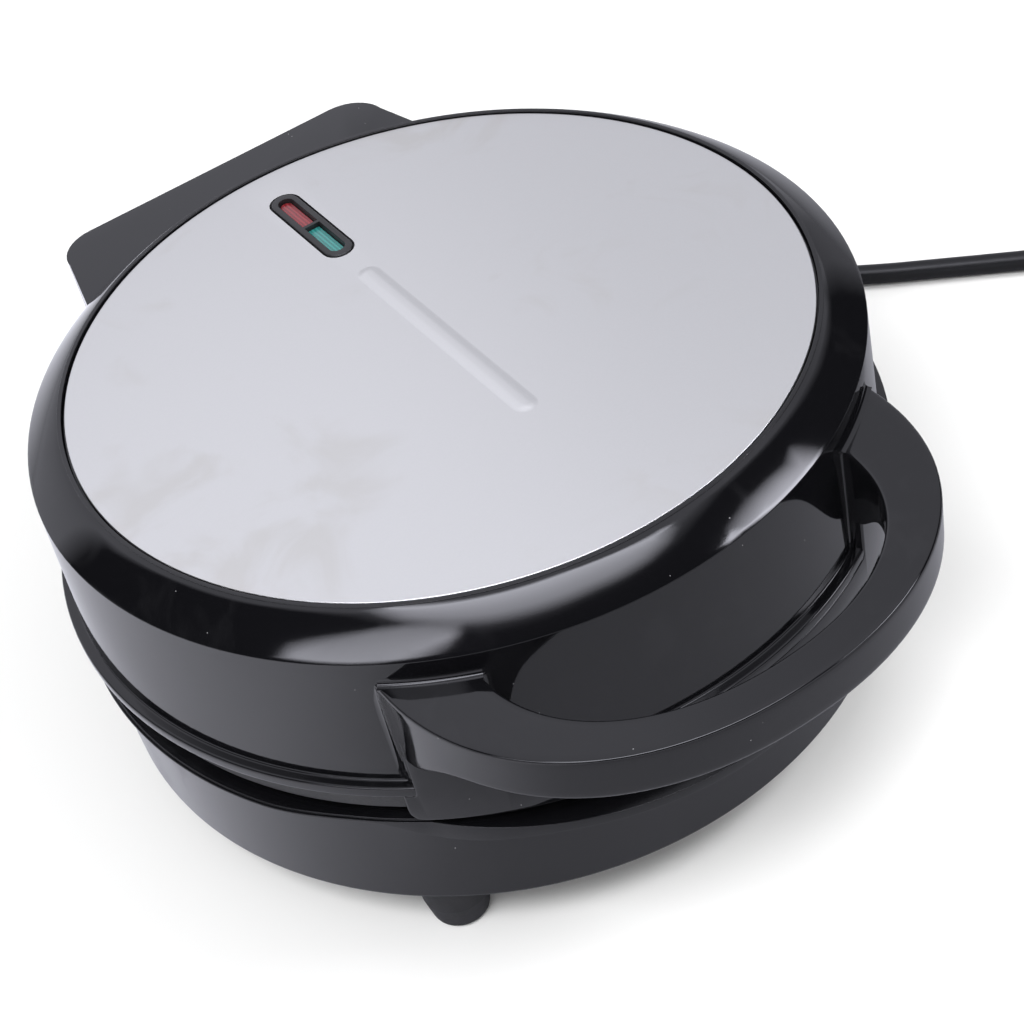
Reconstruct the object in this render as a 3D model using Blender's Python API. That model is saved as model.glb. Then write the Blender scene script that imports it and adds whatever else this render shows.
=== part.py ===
# Round table-top waffle maker: a hinged lid with a D handle over a round base.
# Metres, +Z up. The origin is on the floor, midway between the front of the handle and
# the back of the hinge shelf, so the axis of the steel disc stands a little behind it.
import math

import bmesh
import bpy
from mathutils import Matrix, Vector

# Fits and fineness
clearance = 0.0003
overrun = 0.0010
merge_distance = 0.000001
round_steps = 64
inner_steps = 48
foot_steps = 24
small_steps = 16
screw_steps = 10
curve_read_steps = 24
smooth_angle = math.radians(32)

# Stack of heights, from the floor up
foot_height = 0.0150
base_height = 0.0302
parting_gap = 0.0033
lid_height = 0.0535

# Steel disc on top, with its embossed bar
disc_radius = 0.0900
disc_thickness = 0.0008
emboss_half_width = 0.0029
emboss_slope = 0.0010
emboss_rise = 0.0005
emboss_length = 0.0750
emboss_gap = 0.0090
pill_steps = 6

# Lid moulding
wall = 0.0026
deck_thickness = 0.0025
lip_width = 0.0014
lip_rise = 0.0004
shoulder_width = 0.0097
shoulder_drop = 0.0069
shoulder_bow_shares = (0.40, 0.29)
shoulder_steps = 5
shoulder_inner_drop = 0.0015
deck_margin = 0.0008
lid_draft = 0.0010
bead_width = 0.0027
bead_height = 0.0030
bead_round = 0.0008
skirt_height = 0.0080
skirt_recess = 0.0011

# Handle, moulded with the lid
handle_half_width = 0.0662
handle_projection = 0.0349
handle_root_run = 0.0023
finger_half_width = 0.0480
finger_projection = 0.0261
handle_power = 2.15
handle_stations = 26
handle_top_drop = 0.0125
handle_thickness = 0.0115
handle_root_thickness = 0.0215
handle_dip_start = 0.0450
handle_dip_power = 2.3

# Apron under the handle roots
apron_proud = 0.0021
apron_corner = 0.0080
apron_spread = math.radians(1.4)
apron_stations = 24
apron_root_stations = 3

# Hinge shelf at the back of the lid
shelf_root_half_width = 0.0558
shelf_back_half_width = 0.0500
shelf_projection = 0.0219
shelf_corner = 0.0110
shelf_wall = 0.0025
corner_steps = 5

# Hinge
hinge_inset = 0.0060
hinge_rise = 0.0035
knuckle_radius = 0.0060
knuckle_steps = 20
pin_radius = 0.0020
base_knuckle_inner = 0.0140
base_knuckle_length = 0.0155
knuckle_gap = 0.0005
lid_knuckle_length = 0.0120
knuckle_zone_margin = 0.0010
web_back_share = 0.60
wall_lift = 0.0070
sweep_clearance = 0.0020

# Base moulding
rim_overhang = 0.0015
rim_proud = 0.0018
base_draft = 0.0008
base_fillet = 0.0012
fillet_steps = 2
floor_thickness = 0.0025
rim_fascia = 0.0014
rim_lip_thickness = 0.0030
rim_lip_gap = 0.0010
rim_proud_front = 0.0003
rim_fade_start = math.radians(62)
rim_fade_end = math.radians(48)

# Front ledge: its face is deepest at the deep angle and thins from there to the front
ledge_projection = 0.0078
ledge_arc_radius = 0.0809
ledge_depth = 0.0056
ledge_front_depth = 0.0030
ledge_start = math.radians(47)
ledge_deep = math.radians(38)
ledge_thin = math.radians(20)

# Hinge block at the back of the base
block_half_width = 0.0460
block_back_inset = 0.0020
block_corner = 0.0080
block_wall = 0.0025

# Cooking plates
plate_gap_to_skirt = 0.0020
plate_flange_width = 0.0105
plate_flange_thickness = 0.0030
plate_thickness = 0.0030
plate_draft = 0.0020
plate_depth = 0.0090
plate_meeting_share = 0.50
stud_pitch = 0.0180
stud_base = 0.0130
stud_top = 0.0090
stud_height = 0.0065
stud_margin = 0.0015

# Plate bosses, posts and screws
post_inset = 0.0160
post_radius = 0.0055
boss_radius = 0.0045
boss_height = 0.0070
post_end_thickness = 0.0040
screw_shank_radius = 0.0016
screw_head_radius = 0.0035
screw_head_height = 0.0022
screw_bite = 0.0045

# Heating elements and heat shields
element_inset = 0.0120
element_radius = 0.0032
element_half_opening = math.radians(20)
element_points = 30
element_resolution = 2
terminal_radius = 0.0012
terminal_turn = math.radians(8)
shield_inset = 0.0104
shield_thickness = 0.0006
shield_rim = 0.0040
shield_slot_half_width = 0.0170
shield_slot_half_depth = 0.0065

# Thermostat and thermal fuse
thermostat_radius = 0.0080
thermostat_height = 0.0060
thermostat_cap_radius = 0.0050
thermostat_cap_height = 0.0030
fuse_radius = 0.0022
fuse_half_length = 0.0070
fuse_lead_radius = 0.0006
fuse_lead_length = 0.0080
fuse_offset = 0.0200
fuse_resolution = 2

# Indicator lights
frame_half_width = 0.0038
frame_inset = 0.0125
frame_length = 0.0355
frame_proud = 0.0003
frame_depth = 0.0105
window_half_width = 0.0023
window_end_wall = 0.0022
window_divider = 0.0010
lens_sink = 0.0010
lens_thickness = 0.0030
lamp_radius = 0.0018
lamp_length = 0.0095

# Feet
foot_inset = 0.0096
foot_angle = math.radians(41)
foot_top_radius = 0.0083
foot_sole_radius = 0.0070
foot_edge = 0.0012
foot_waist_share = 0.45
foot_waist_radius = 0.0083

# Wiring and terminal block
wire_radius = 0.0013
wire_resolution = 1
wire_step_share = 4.5
wire_straight_run = 0.0080
lamp_lead_share = 1.4
wire_spread = 0.0050
wire_slot_half_width = 0.0080
wire_slot_height = 0.0120
lid_slot_rise = 0.0200
terminal_block_width = 0.0200
terminal_block_depth = 0.0100
terminal_block_height = 0.0140
terminal_hole_radius = 0.0017
terminal_hole_pitch = 0.0100
terminal_block_gap = 0.0050
supply_lead_run = 0.0012

# Cord, gland and plug
cord_radius = 0.0030
cord_resolution = 3
cord_spacing = 0.0125
cord_exit_x = -0.0180
cord_exit_height = 0.0250
gland_flange_radius = 0.0068
gland_neck_radius = 0.0050
gland_flange_thickness = 0.0020
boot_root_radius = 0.0058
boot_tip_radius = 0.0040
boot_length = 0.0257
coil_gap = 0.0005
coil_turns = 2.25
coil_radius = 0.0374
coil_points_per_turn = 24
coil_resolution = 1
climb_turns = 0.5
plug_width = 0.0310
plug_length = 0.0340
plug_corner = 0.0060
plug_boot_length = 0.0300
plug_pin_radius = 0.0024
plug_pin_length = 0.0190
plug_pin_pitch = 0.0190

# The free cord's own route, chosen by hand: from the gland down to the floor, round the
# back of the object and away to its right. The coil follows its last point.
cord_route = [
    (-0.0180, 0.1568, 0.0250),
    (-0.0180, 0.1640, 0.0249),
    (-0.0168, 0.1732, 0.0229),
    (-0.0118, 0.1830, 0.0184),
    (-0.0028, 0.1902, 0.0127),
    (0.0090, 0.1926, 0.0079),
    (0.0212, 0.1898, 0.0049),
    (0.0332, 0.1820, 0.0035),
    (0.0470, 0.1690, 0.0031),
    (0.0700, 0.1450, 0.0031),
    (0.0950, 0.1174, 0.0031),
    (0.1200, 0.0898, 0.0031),
    (0.1440, 0.0658, 0.0031),
    (0.1655, 0.0465, 0.0031),
    (0.1768, 0.0374, 0.0031),
    (0.1881, 0.0285, 0.0031),
    (0.1994, 0.0197, 0.0031),
    (0.2112, 0.0105, 0.0031),
    (0.2230, 0.0013, 0.0031),
    (0.2348, -0.0079, 0.0031),
]

# Heights worked out from the stack
base_bottom = foot_height
base_floor = base_bottom + floor_thickness
rim_height = base_bottom + base_height
lid_edge = rim_height + parting_gap
disc_top = lid_edge + lid_height
disc_bottom = disc_top - disc_thickness
deck_top = disc_bottom - clearance
deck_bottom = deck_top - deck_thickness
lip_top = disc_top + lip_rise
crease_height = disc_top - shoulder_drop
bead_bottom = lid_edge + skirt_height
bead_top = bead_bottom + bead_height
handle_top = disc_top - handle_top_drop
hinge_height = lid_edge + hinge_rise
block_top = hinge_height - knuckle_radius - sweep_clearance

# Radii worked out from the disc outwards
seat_radius = disc_radius + clearance
lip_radius = disc_radius + lip_width
crease_radius = lip_radius + shoulder_width
lid_radius = crease_radius + lid_draft
bead_radius = lid_radius + bead_width
skirt_radius = lid_radius - skirt_recess
lid_inner_radius = skirt_radius - wall
mid_wall_radius = skirt_radius - wall / 2
apron_radius = lid_radius + apron_proud
rim_radius = lid_radius + rim_overhang
base_wall_radius = rim_radius - rim_proud
base_foot_radius = base_wall_radius - base_draft
base_inner_radius = base_foot_radius - wall
plate_radius = lid_inner_radius - plate_gap_to_skirt
recess_radius = plate_radius - plate_flange_width
recess_floor_radius = recess_radius - plate_draft
shield_radius = plate_radius - shield_inset
post_circle = shield_radius - post_inset
element_circle = post_circle - element_inset
foot_circle = base_foot_radius - foot_inset

# Reaches along Y from the disc axis
handle_reach = lid_radius + handle_projection
finger_reach = lid_radius + finger_projection
handle_start = math.sqrt(lid_radius**2 - handle_half_width**2) + handle_root_run
finger_start = math.sqrt(lid_radius**2 - finger_half_width**2)
shelf_reach = lid_radius + shelf_projection
hinge_reach = shelf_reach - hinge_inset
block_reach = shelf_reach - block_back_inset
disc_axis_y = (handle_reach - shelf_reach) / 2

# Knuckle ends along X
base_knuckle_outer = base_knuckle_inner + base_knuckle_length
lid_knuckle_inner = base_knuckle_outer + knuckle_gap
lid_knuckle_outer = lid_knuckle_inner + lid_knuckle_length
knuckle_zone = lid_knuckle_outer + knuckle_zone_margin

# Cooking plates: their flanges meet inside the parting gap
meeting_height = rim_height + parting_gap * plate_meeting_share
lower_flange_top = meeting_height - clearance / 2
upper_flange_bottom = meeting_height + clearance / 2
plate_back_drop = plate_depth + plate_thickness
upper_plate_back = upper_flange_bottom + plate_back_drop
lower_plate_back = lower_flange_top - plate_back_drop
upper_boss_end = upper_plate_back + boss_height
lower_boss_end = lower_plate_back - boss_height

# Posts and screws: each post ends past the heat shield that lies on the plate's bosses
shield_room = shield_thickness + 2 * clearance
upper_post_end = upper_boss_end + shield_room
lower_post_end = lower_boss_end - shield_room
hole_radius = screw_shank_radius + clearance
counterbore_radius = screw_head_radius + clearance
boss_hole_depth = screw_bite + clearance

# Heating elements
upper_element_height = upper_plate_back + clearance + element_radius
lower_element_height = lower_plate_back - clearance - element_radius
terminal_angle = element_half_opening - terminal_turn
terminal_x = element_circle * math.sin(terminal_angle)
terminal_y = element_circle * math.cos(terminal_angle)

# Lights: the frame stands a little above the disc, and the embossed bar ends short of it
frame_back = disc_radius - frame_inset
frame_front = frame_back - frame_length
emboss_back = frame_front - emboss_gap
emboss_front = emboss_length - emboss_back
frame_top = disc_top + frame_proud
frame_bottom = frame_top - frame_depth
window_front = frame_front + window_end_wall
window_back = frame_back - window_end_wall
window_middle = (window_front + window_back) / 2
lens_top = frame_top - lens_sink
lens_bottom = lens_top - lens_thickness
lamp_height = lens_bottom - clearance - lamp_radius
red_window_front = window_middle + window_divider / 2
green_window_back = window_middle - window_divider / 2
red_lamp_y = (window_back + red_window_front) / 2
green_lamp_y = (window_front + green_window_back) / 2

# Terminal block, in line with the cord's exit
terminal_block_back = block_reach - block_wall - gland_flange_thickness - terminal_block_gap
terminal_block_front = terminal_block_back - terminal_block_depth
terminal_hole_height = base_floor + clearance + terminal_block_height / 2
terminal_holes = (cord_exit_x - terminal_hole_pitch / 2, cord_exit_x + terminal_hole_pitch / 2)

# Cord sizes that follow its radius
cord_diameter = 2 * cord_radius
coil_pitch = cord_diameter + coil_gap
plug_half_height = cord_radius + coil_pitch


def make_material(name, colour, roughness, metallic=0.0):
    material = bpy.data.materials.new(name)
    material.use_nodes = True
    shader = material.node_tree.nodes["Principled BSDF"]
    shader.inputs["Base Color"].default_value = (*colour, 1.0)
    shader.inputs["Roughness"].default_value = roughness
    shader.inputs["Metallic"].default_value = metallic
    material.diffuse_color = (*colour, 1.0)
    return material


def place(obj, location=(0, 0, 0), turn=0.0, parent=None):
    bpy.context.scene.collection.objects.link(obj)
    obj.location = location
    obj.rotation_euler = (0, 0, turn)
    obj.parent = parent
    return obj


def add_piece(name, bm, material, location=(0, 0, 0), turn=0.0, parent=None):
    bmesh.ops.recalc_face_normals(bm, faces=bm.faces)
    mesh = bpy.data.meshes.new(name)
    bm.to_mesh(mesh)
    bm.free()
    mesh.shade_smooth()
    mesh.set_sharp_from_angle(angle=smooth_angle)
    mesh.materials.append(material)
    return place(bpy.data.objects.new(name, mesh), location, turn, parent or disc_axis)


def add_helper(name, bm, location=(0, 0, 0), turn=0.0, parent=None):
    helper = add_piece(name, bm, helper_material, location, turn, parent)
    helper.hide_render = True
    helper.display_type = "WIRE"
    return helper


def combine(target, operation, helper):
    boolean = target.modifiers.new(helper.name, "BOOLEAN")
    boolean.operation = operation
    boolean.solver = "EXACT"
    boolean.object = helper


def join(target, helper):
    combine(target, "UNION", helper)


def cut(target, helper):
    combine(target, "DIFFERENCE", helper)


def turn_about_axis(bm, profile, steps=round_steps, matrix=None):
    """Turns a profile of (radius, height) points. One that starts off the axis is a closed loop."""
    before = set(bm.verts)
    verts = [bm.verts.new((radius, 0, height)) for radius, height in profile]
    edges = [bm.edges.new(pair) for pair in zip(verts, verts[1:])]
    if profile[0][0] > 0:
        edges.append(bm.edges.new((verts[-1], verts[0])))
    bmesh.ops.spin(
        bm,
        geom=verts + edges,
        axis=(0, 0, 1),
        angle=math.tau,
        steps=steps,
        use_merge=True,
    )
    made = [vert for vert in bm.verts if vert not in before]
    bmesh.ops.remove_doubles(bm, verts=made, dist=merge_distance)
    if matrix is not None:
        made = [vert for vert in bm.verts if vert not in before]
        bmesh.ops.transform(bm, matrix=matrix, verts=made)


def add_box(bm, low, high):
    size = [b - a for a, b in zip(low, high)]
    middle = [(a + b) / 2 for a, b in zip(low, high)]
    matrix = Matrix.Translation(middle) @ Matrix.Diagonal((*size, 1))
    bmesh.ops.create_cube(bm, size=1, matrix=matrix)


def add_rod(bm, start, end, radius, steps=small_steps, end_radius=None):
    start = Vector(start)
    along = Vector(end) - start
    turn = along.to_track_quat("Z", "Y").to_matrix().to_4x4()
    bmesh.ops.create_cone(
        bm,
        cap_ends=True,
        segments=steps,
        radius1=radius,
        radius2=radius if end_radius is None else end_radius,
        depth=along.length,
        matrix=Matrix.Translation(start + along / 2) @ turn,
    )


def add_prism(bm, outline, low, high, top_outline=None):
    """Stands an outline of (x, y) corners up from one height to another."""
    bottom = [(x, y, low) for x, y in outline]
    top = [(x, y, high) for x, y in top_outline or outline]
    add_loft(bm, [bottom, top])


def add_loft(bm, sections):
    """Joins a row of outlines that all have the same number of corners."""
    rings = [[bm.verts.new(corner) for corner in section] for section in sections]
    for first, second in zip(rings, rings[1:]):
        for i, corner in enumerate(first):
            j = (i + 1) % len(first)
            bm.faces.new((corner, first[j], second[j], second[i]))
    bm.faces.new(reversed(rings[0]))
    bm.faces.new(rings[-1])


def arc(centre, radius, start, end, steps):
    """Points of an arc, by angles from +X."""
    angles = [start + (end - start) * i / steps for i in range(steps + 1)]
    return [(centre[0] + radius * math.cos(a), centre[1] + radius * math.sin(a)) for a in angles]


def pill(half_width, front, back, inset=0.0):
    """An oblong along Y with round ends."""
    radius = half_width - inset
    ahead = arc((0, back - half_width), radius, 0, math.pi, pill_steps)
    behind = arc((0, front + half_width), radius, math.pi, math.tau, pill_steps)
    return ahead + behind


def mirrored(outline):
    return outline + [(-x, y) for x, y in reversed(outline)]


def back_box_outline(root_x, root_radius, half_width, reach, corner, inset=0.0):
    """The outline of a box that grows from a round wall towards +Y, with rounded back corners."""
    x = root_x - inset
    root = (x, math.sqrt(root_radius**2 - x**2))
    centre = (half_width - corner, reach - corner)
    side = [root] + arc(centre, corner - inset, 0, math.pi / 2, corner_steps)
    return mirrored(side)


def back_cavity_outline(root_x, front_radius, half_width, reach, corner, inset):
    """The inside of such a box. Its front follows the round wall."""
    outline = back_box_outline(root_x, front_radius, half_width, reach, corner, inset)
    first = math.asin((root_x - inset) / front_radius)
    wall_arc = arc((0, 0), front_radius, math.pi / 2 + first, math.pi / 2 - first, corner_steps * 2)
    return outline + wall_arc[1:-1]


def four_posts():
    place_along = post_circle * math.sqrt(0.5)
    return [(i * place_along, j * place_along) for i in (-1, 1) for j in (-1, 1)]


def lid_profile():
    points = [(0, lid_edge), (skirt_radius, lid_edge), (skirt_radius, bead_bottom)]
    points += [(bead_radius - bead_round, bead_bottom), (bead_radius, bead_bottom + bead_round)]
    points += [(bead_radius, bead_top - bead_round), (bead_radius - bead_round, bead_top)]
    points += [(lid_radius, bead_top)]
    width = crease_radius - lip_radius
    drop = lip_top - crease_height
    bow = (lip_radius + width * shoulder_bow_shares[0], lip_top - drop * shoulder_bow_shares[1])
    for i in range(shoulder_steps + 1):
        t = 1 - i / shoulder_steps
        ends = (1 - t) ** 2, 2 * t * (1 - t), t**2
        radius = ends[0] * lip_radius + ends[1] * bow[0] + ends[2] * crease_radius
        height = ends[0] * lip_top + ends[1] * bow[1] + ends[2] * crease_height
        points.append((radius, height))
    return points + [(seat_radius, lip_top), (seat_radius, deck_top), (0, deck_top)]


def lid_cavity_profile():
    break_height = crease_height - shoulder_inner_drop
    points = [(0, lid_edge - overrun), (lid_inner_radius, lid_edge - overrun)]
    points += [(lid_inner_radius, break_height), (lip_radius + deck_margin, deck_bottom)]
    return points + [(0, deck_bottom)]


def superellipse(half_width, depth, angle):
    power = 2 / handle_power
    x = math.copysign(abs(math.cos(angle)) ** power, math.cos(angle))
    return half_width * x, depth * abs(math.sin(angle)) ** power


def handle_sections():
    """Sections across the handle's bar, from its right root round to its left one."""
    pairs = []
    for i in range(handle_stations + 1):
        angle = math.pi * i / handle_stations
        outer = superellipse(handle_half_width, handle_reach - handle_start, angle)
        inner = superellipse(finger_half_width, finger_reach - finger_start, angle)
        pairs.append(((outer[0], -handle_start - outer[1]), (inner[0], -finger_start - inner[1])))
    outer_root = -math.sqrt(mid_wall_radius**2 - handle_half_width**2)
    inner_root = -math.sqrt(mid_wall_radius**2 - finger_half_width**2)
    right = ((handle_half_width, outer_root), (finger_half_width, inner_root))
    left = ((-handle_half_width, outer_root), (-finger_half_width, inner_root))
    sections = []
    for outer, inner in [right] + pairs + [left]:
        share = max(0, (abs(outer[0]) - handle_dip_start) / (handle_half_width - handle_dip_start))
        dip = (handle_root_thickness - handle_thickness) * share**handle_dip_power
        under = handle_top - handle_thickness - dip
        corners = [(*outer, handle_top), (*inner, handle_top), (*inner, under), (*outer, under)]
        sections.append(corners)
    return sections


def apron_sections(first, last, stations, high, rounded):
    """A band of the lid's skirt between two angles from the front, with rounded lower corners."""
    sections = []
    end = max(abs(first), abs(last))
    for i in range(stations + 1):
        angle = first + (last - first) * i / stations
        run = apron_radius * max(0, end - abs(angle))
        low = bead_bottom
        if rounded:
            short = max(0, apron_corner - run)
            low = lid_edge + apron_corner - math.sqrt(apron_corner**2 - short**2)
        x, y = math.sin(angle), -math.cos(angle)
        inner = (mid_wall_radius * x, mid_wall_radius * y)
        outer = (apron_radius * x, apron_radius * y)
        sections.append([(*inner, low), (*outer, low), (*outer, high), (*inner, high)])
    return sections


def make_lid_housing():
    bm = bmesh.new()
    turn_about_axis(bm, lid_profile())
    lid = add_piece("lid_housing", bm, black_gloss)

    bm = bmesh.new()
    add_loft(bm, handle_sections())
    join(lid, add_helper("handle_bar", bm))

    bm = bmesh.new()
    end = math.asin(handle_half_width / apron_radius) + apron_spread
    inside = math.asin(finger_half_width / apron_radius)
    add_loft(bm, apron_sections(-end, end, apron_stations, bead_top - bead_height / 2, True))
    join(lid, add_helper("apron_band", bm))
    bm = bmesh.new()
    root_top = handle_top - handle_root_thickness + overrun
    for side in (-1, 1):
        add_loft(bm, apron_sections(side * inside, side * end, apron_root_stations, root_top, False))
    join(lid, add_helper("apron_roots", bm))

    bm = bmesh.new()
    shelf = (shelf_root_half_width, mid_wall_radius, shelf_back_half_width, shelf_reach, shelf_corner)
    add_prism(bm, back_box_outline(*shelf), lid_edge, handle_top)
    join(lid, add_helper("hinge_shelf", bm))

    bm = bmesh.new()
    turn_about_axis(bm, lid_cavity_profile())
    cut(lid, add_helper("lid_cavity", bm))
    bm = bmesh.new()
    cavity_radius = skirt_radius - clearance
    cavity = (shelf_root_half_width, cavity_radius, shelf_back_half_width, shelf_reach, shelf_corner)
    add_prism(bm, back_cavity_outline(*cavity, shelf_wall), lid_edge - overrun, handle_top - shelf_wall)
    cut(lid, add_helper("shelf_cavity", bm))

    bm = bmesh.new()
    low = (-knuckle_zone, hinge_reach, lid_edge - overrun)
    add_box(bm, low, (knuckle_zone, shelf_reach + overrun, hinge_height + wall_lift))
    slot_low = lid_edge + lid_slot_rise
    inside_wall = (-wire_slot_half_width, lid_inner_radius - wall, slot_low)
    add_box(bm, inside_wall, (wire_slot_half_width, lid_radius + overrun, slot_low + wire_slot_height))
    cut(lid, add_helper("hinge_and_wire_cuts", bm))

    bm = bmesh.new()
    for x, y in four_posts():
        add_rod(bm, (x, y, upper_post_end), (x, y, deck_bottom + deck_thickness / 2), post_radius)
    for side in (-1, 1):
        inner = min(side * lid_knuckle_inner, side * lid_knuckle_outer)
        outer = max(side * lid_knuckle_inner, side * lid_knuckle_outer)
        web_back = shelf_reach - shelf_wall / 2
        web_front = hinge_reach - knuckle_radius
        top = handle_top - shelf_wall / 2
        add_box(bm, (inner, web_front, hinge_height), (outer, web_back, top))
    join(lid, add_helper("lid_posts_and_webs", bm))
    join(lid, knuckle_barrels("lid_barrels", lid_knuckle_inner, lid_knuckle_outer))
    cut(lid, pin_bores)

    bm = bmesh.new()
    for x, y in four_posts():
        ledge = upper_post_end + post_end_thickness
        add_rod(bm, (x, y, ledge), (x, y, deck_top + overrun), counterbore_radius)
    frame_hole = pill(frame_half_width + clearance, frame_front - clearance, frame_back + clearance)
    add_prism(bm, frame_hole, deck_bottom - overrun, deck_top + overrun)
    cut(lid, add_helper("counterbores_and_frame_hole", bm))
    bm = bmesh.new()
    for x, y in four_posts():
        add_rod(bm, (x, y, upper_post_end - overrun), (x, y, deck_bottom), hole_radius)
    cut(lid, add_helper("lid_screw_holes", bm))


def knuckle_barrels(name, inner, outer):
    bm = bmesh.new()
    for side in (-1, 1):
        start = (side * inner, hinge_reach, hinge_height)
        end = (side * outer, hinge_reach, hinge_height)
        add_rod(bm, start, end, knuckle_radius, knuckle_steps)
    return add_helper(name, bm)


def make_pin_bores():
    bm = bmesh.new()
    for side in (-1, 1):
        start = (side * (base_knuckle_inner - overrun), hinge_reach, hinge_height)
        end = (side * (lid_knuckle_outer + overrun), hinge_reach, hinge_height)
        add_rod(bm, start, end, pin_radius + clearance)
    return add_helper("pin_bores", bm)


def make_hinge_pins():
    for side, name in ((-1, "hinge_pin_left"), (1, "hinge_pin_right")):
        bm = bmesh.new()
        start = (side * (base_knuckle_inner + clearance), 0, 0)
        add_rod(bm, start, (side * (lid_knuckle_outer - clearance), 0, 0), pin_radius)
        add_piece(name, bm, steel, (0, hinge_reach, hinge_height))


def make_steel_top():
    bm = bmesh.new()
    profile = [(0, disc_bottom), (disc_radius, disc_bottom), (disc_radius, disc_top), (0, disc_top)]
    turn_about_axis(bm, profile)
    disc = add_piece("steel_top_plate", bm, brushed_steel)
    bm = bmesh.new()
    foot = pill(emboss_half_width, -emboss_front, emboss_back)
    crown = pill(emboss_half_width, -emboss_front, emboss_back, emboss_slope)
    add_prism(bm, foot, disc_top - disc_thickness / 2, disc_top + emboss_rise, crown)
    join(disc, add_helper("embossed_bar", bm))
    bm = bmesh.new()
    frame_hole = pill(frame_half_width + clearance, frame_front - clearance, frame_back + clearance)
    add_prism(bm, frame_hole, disc_bottom - overrun, disc_top + overrun)
    cut(disc, add_helper("disc_slot", bm))


def half_pill(half_width, end, flat, inset):
    """An oblong with one round end, at end, and a flat one."""
    radius = half_width - inset
    way = math.copysign(1, end - flat)
    centre = (0, end - way * half_width)
    bow = arc(centre, radius, 0, way * math.pi, pill_steps)
    flat_y = flat + way * inset
    return bow + [(-radius, flat_y), (radius, flat_y)]


def make_lights():
    bm = bmesh.new()
    add_prism(bm, pill(frame_half_width, frame_front, frame_back), frame_bottom, frame_top)
    frame = add_piece("indicator_frame", bm, black_satin)
    bm = bmesh.new()
    lights = (
        ("green_lens", "ready_lamp", window_front, green_window_back, green_glass),
        ("red_lens", "power_lamp", window_back, red_window_front, red_glass),
    )
    for _, _, end, flat, _ in lights:
        window = half_pill(window_half_width, end, flat, 0)
        add_prism(bm, window, frame_bottom - overrun, frame_top + overrun)
    cut(frame, add_helper("windows", bm))
    for lens_name, lamp_name, end, flat, glass in lights:
        bm = bmesh.new()
        lens = half_pill(window_half_width, end, flat, clearance)
        add_prism(bm, lens, lens_bottom, lens_top)
        add_piece(lens_name, bm, glass)
        bm = bmesh.new()
        middle = (end + flat) / 2
        start = (0, -lamp_length / 2, 0)
        add_rod(bm, start, (0, lamp_length / 2, 0), lamp_radius)
        add_piece(lamp_name, bm, lamp_glass, (0, middle, lamp_height))


def plate_profile(meeting, way):
    """The dish of a cooking plate. way is -1 for one that lies below the meeting height."""
    floor = meeting + way * plate_depth
    back = floor + way * plate_thickness
    flange_back = meeting + way * plate_flange_thickness
    points = [(0, back), (recess_floor_radius + plate_thickness, back)]
    points += [(recess_radius + plate_thickness, flange_back), (plate_radius, flange_back)]
    points += [(plate_radius, meeting), (recess_radius, meeting)]
    return points + [(recess_floor_radius, floor), (0, floor)]


def stud_places():
    count = math.ceil(recess_floor_radius / stud_pitch)
    corner = stud_base / 2
    places = []
    for i in range(-count, count + 1):
        for j in range(-count, count + 1):
            far = math.hypot(abs(i) * stud_pitch + corner, abs(j) * stud_pitch + corner)
            if far < recess_floor_radius - stud_margin:
                places.append((i * stud_pitch, j * stud_pitch))
    return places


def square(centre, side):
    half = side / 2
    x, y = centre
    return [(x - half, y - half), (x + half, y - half), (x + half, y + half), (x - half, y + half)]


def make_cooking_plate(name, meeting, way):
    bm = bmesh.new()
    turn_about_axis(bm, plate_profile(meeting, way), inner_steps)
    plate = add_piece(name, bm, dark_coating)
    floor = meeting + way * plate_depth
    back = floor + way * plate_thickness
    boss_end = back + way * boss_height
    slope = (stud_base - stud_top) / stud_height
    bm = bmesh.new()
    for centre in stud_places():
        foot = square(centre, stud_base + slope * overrun)
        crown = square(centre, stud_top)
        add_prism(bm, foot, floor + way * overrun, floor - way * stud_height, crown)
    for x, y in four_posts():
        add_rod(bm, (x, y, floor + way * plate_thickness / 2), (x, y, boss_end), boss_radius)
    join(plate, add_helper(name + "_studs_and_bosses", bm))
    bm = bmesh.new()
    for x, y in four_posts():
        end = boss_end - way * boss_hole_depth
        add_rod(bm, (x, y, boss_end + way * overrun), (x, y, end), hole_radius)
    cut(plate, add_helper(name + "_screw_holes", bm))


def make_plate_screws(name, post_end, boss_end, way):
    """way is the direction in which the screws point."""
    seat = post_end - way * (post_end_thickness + clearance)
    tip = boss_end + way * screw_bite
    profile = [(0, seat - way * screw_head_height), (screw_head_radius, seat - way * screw_head_height)]
    profile += [(screw_head_radius, seat), (screw_shank_radius, seat)]
    profile += [(screw_shank_radius, tip), (0, tip)]
    for number, (x, y) in enumerate(four_posts(), 1):
        bm = bmesh.new()
        turn_about_axis(bm, profile, screw_steps)
        add_piece(f"{name}_{number}", bm, steel, (x, y, 0))


def make_heat_shield(name, face, way):
    """A thin pan. Its rim points the way of the cooking plate that it backs."""
    bm = bmesh.new()
    back = face - way * shield_thickness
    inner = shield_radius - shield_thickness
    profile = [(0, back), (shield_radius, back), (shield_radius, face + way * shield_rim)]
    profile += [(inner, face + way * shield_rim), (inner, face), (0, face)]
    turn_about_axis(bm, profile, inner_steps)
    shield = add_piece(name, bm, bright_metal)
    low, high = sorted((back - way * overrun, face + way * overrun))
    bm = bmesh.new()
    for x, y in four_posts():
        add_rod(bm, (x, y, low), (x, y, high), hole_radius)
    slot = (shield_slot_half_width, terminal_y + shield_slot_half_depth, high)
    add_box(bm, (-shield_slot_half_width, terminal_y - shield_slot_half_depth, low), slot)
    if way > 0:
        add_rod(bm, (0, 0, low), (0, 0, high), thermostat_cap_radius + clearance)
    cut(shield, add_helper(name + "_holes", bm))


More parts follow.
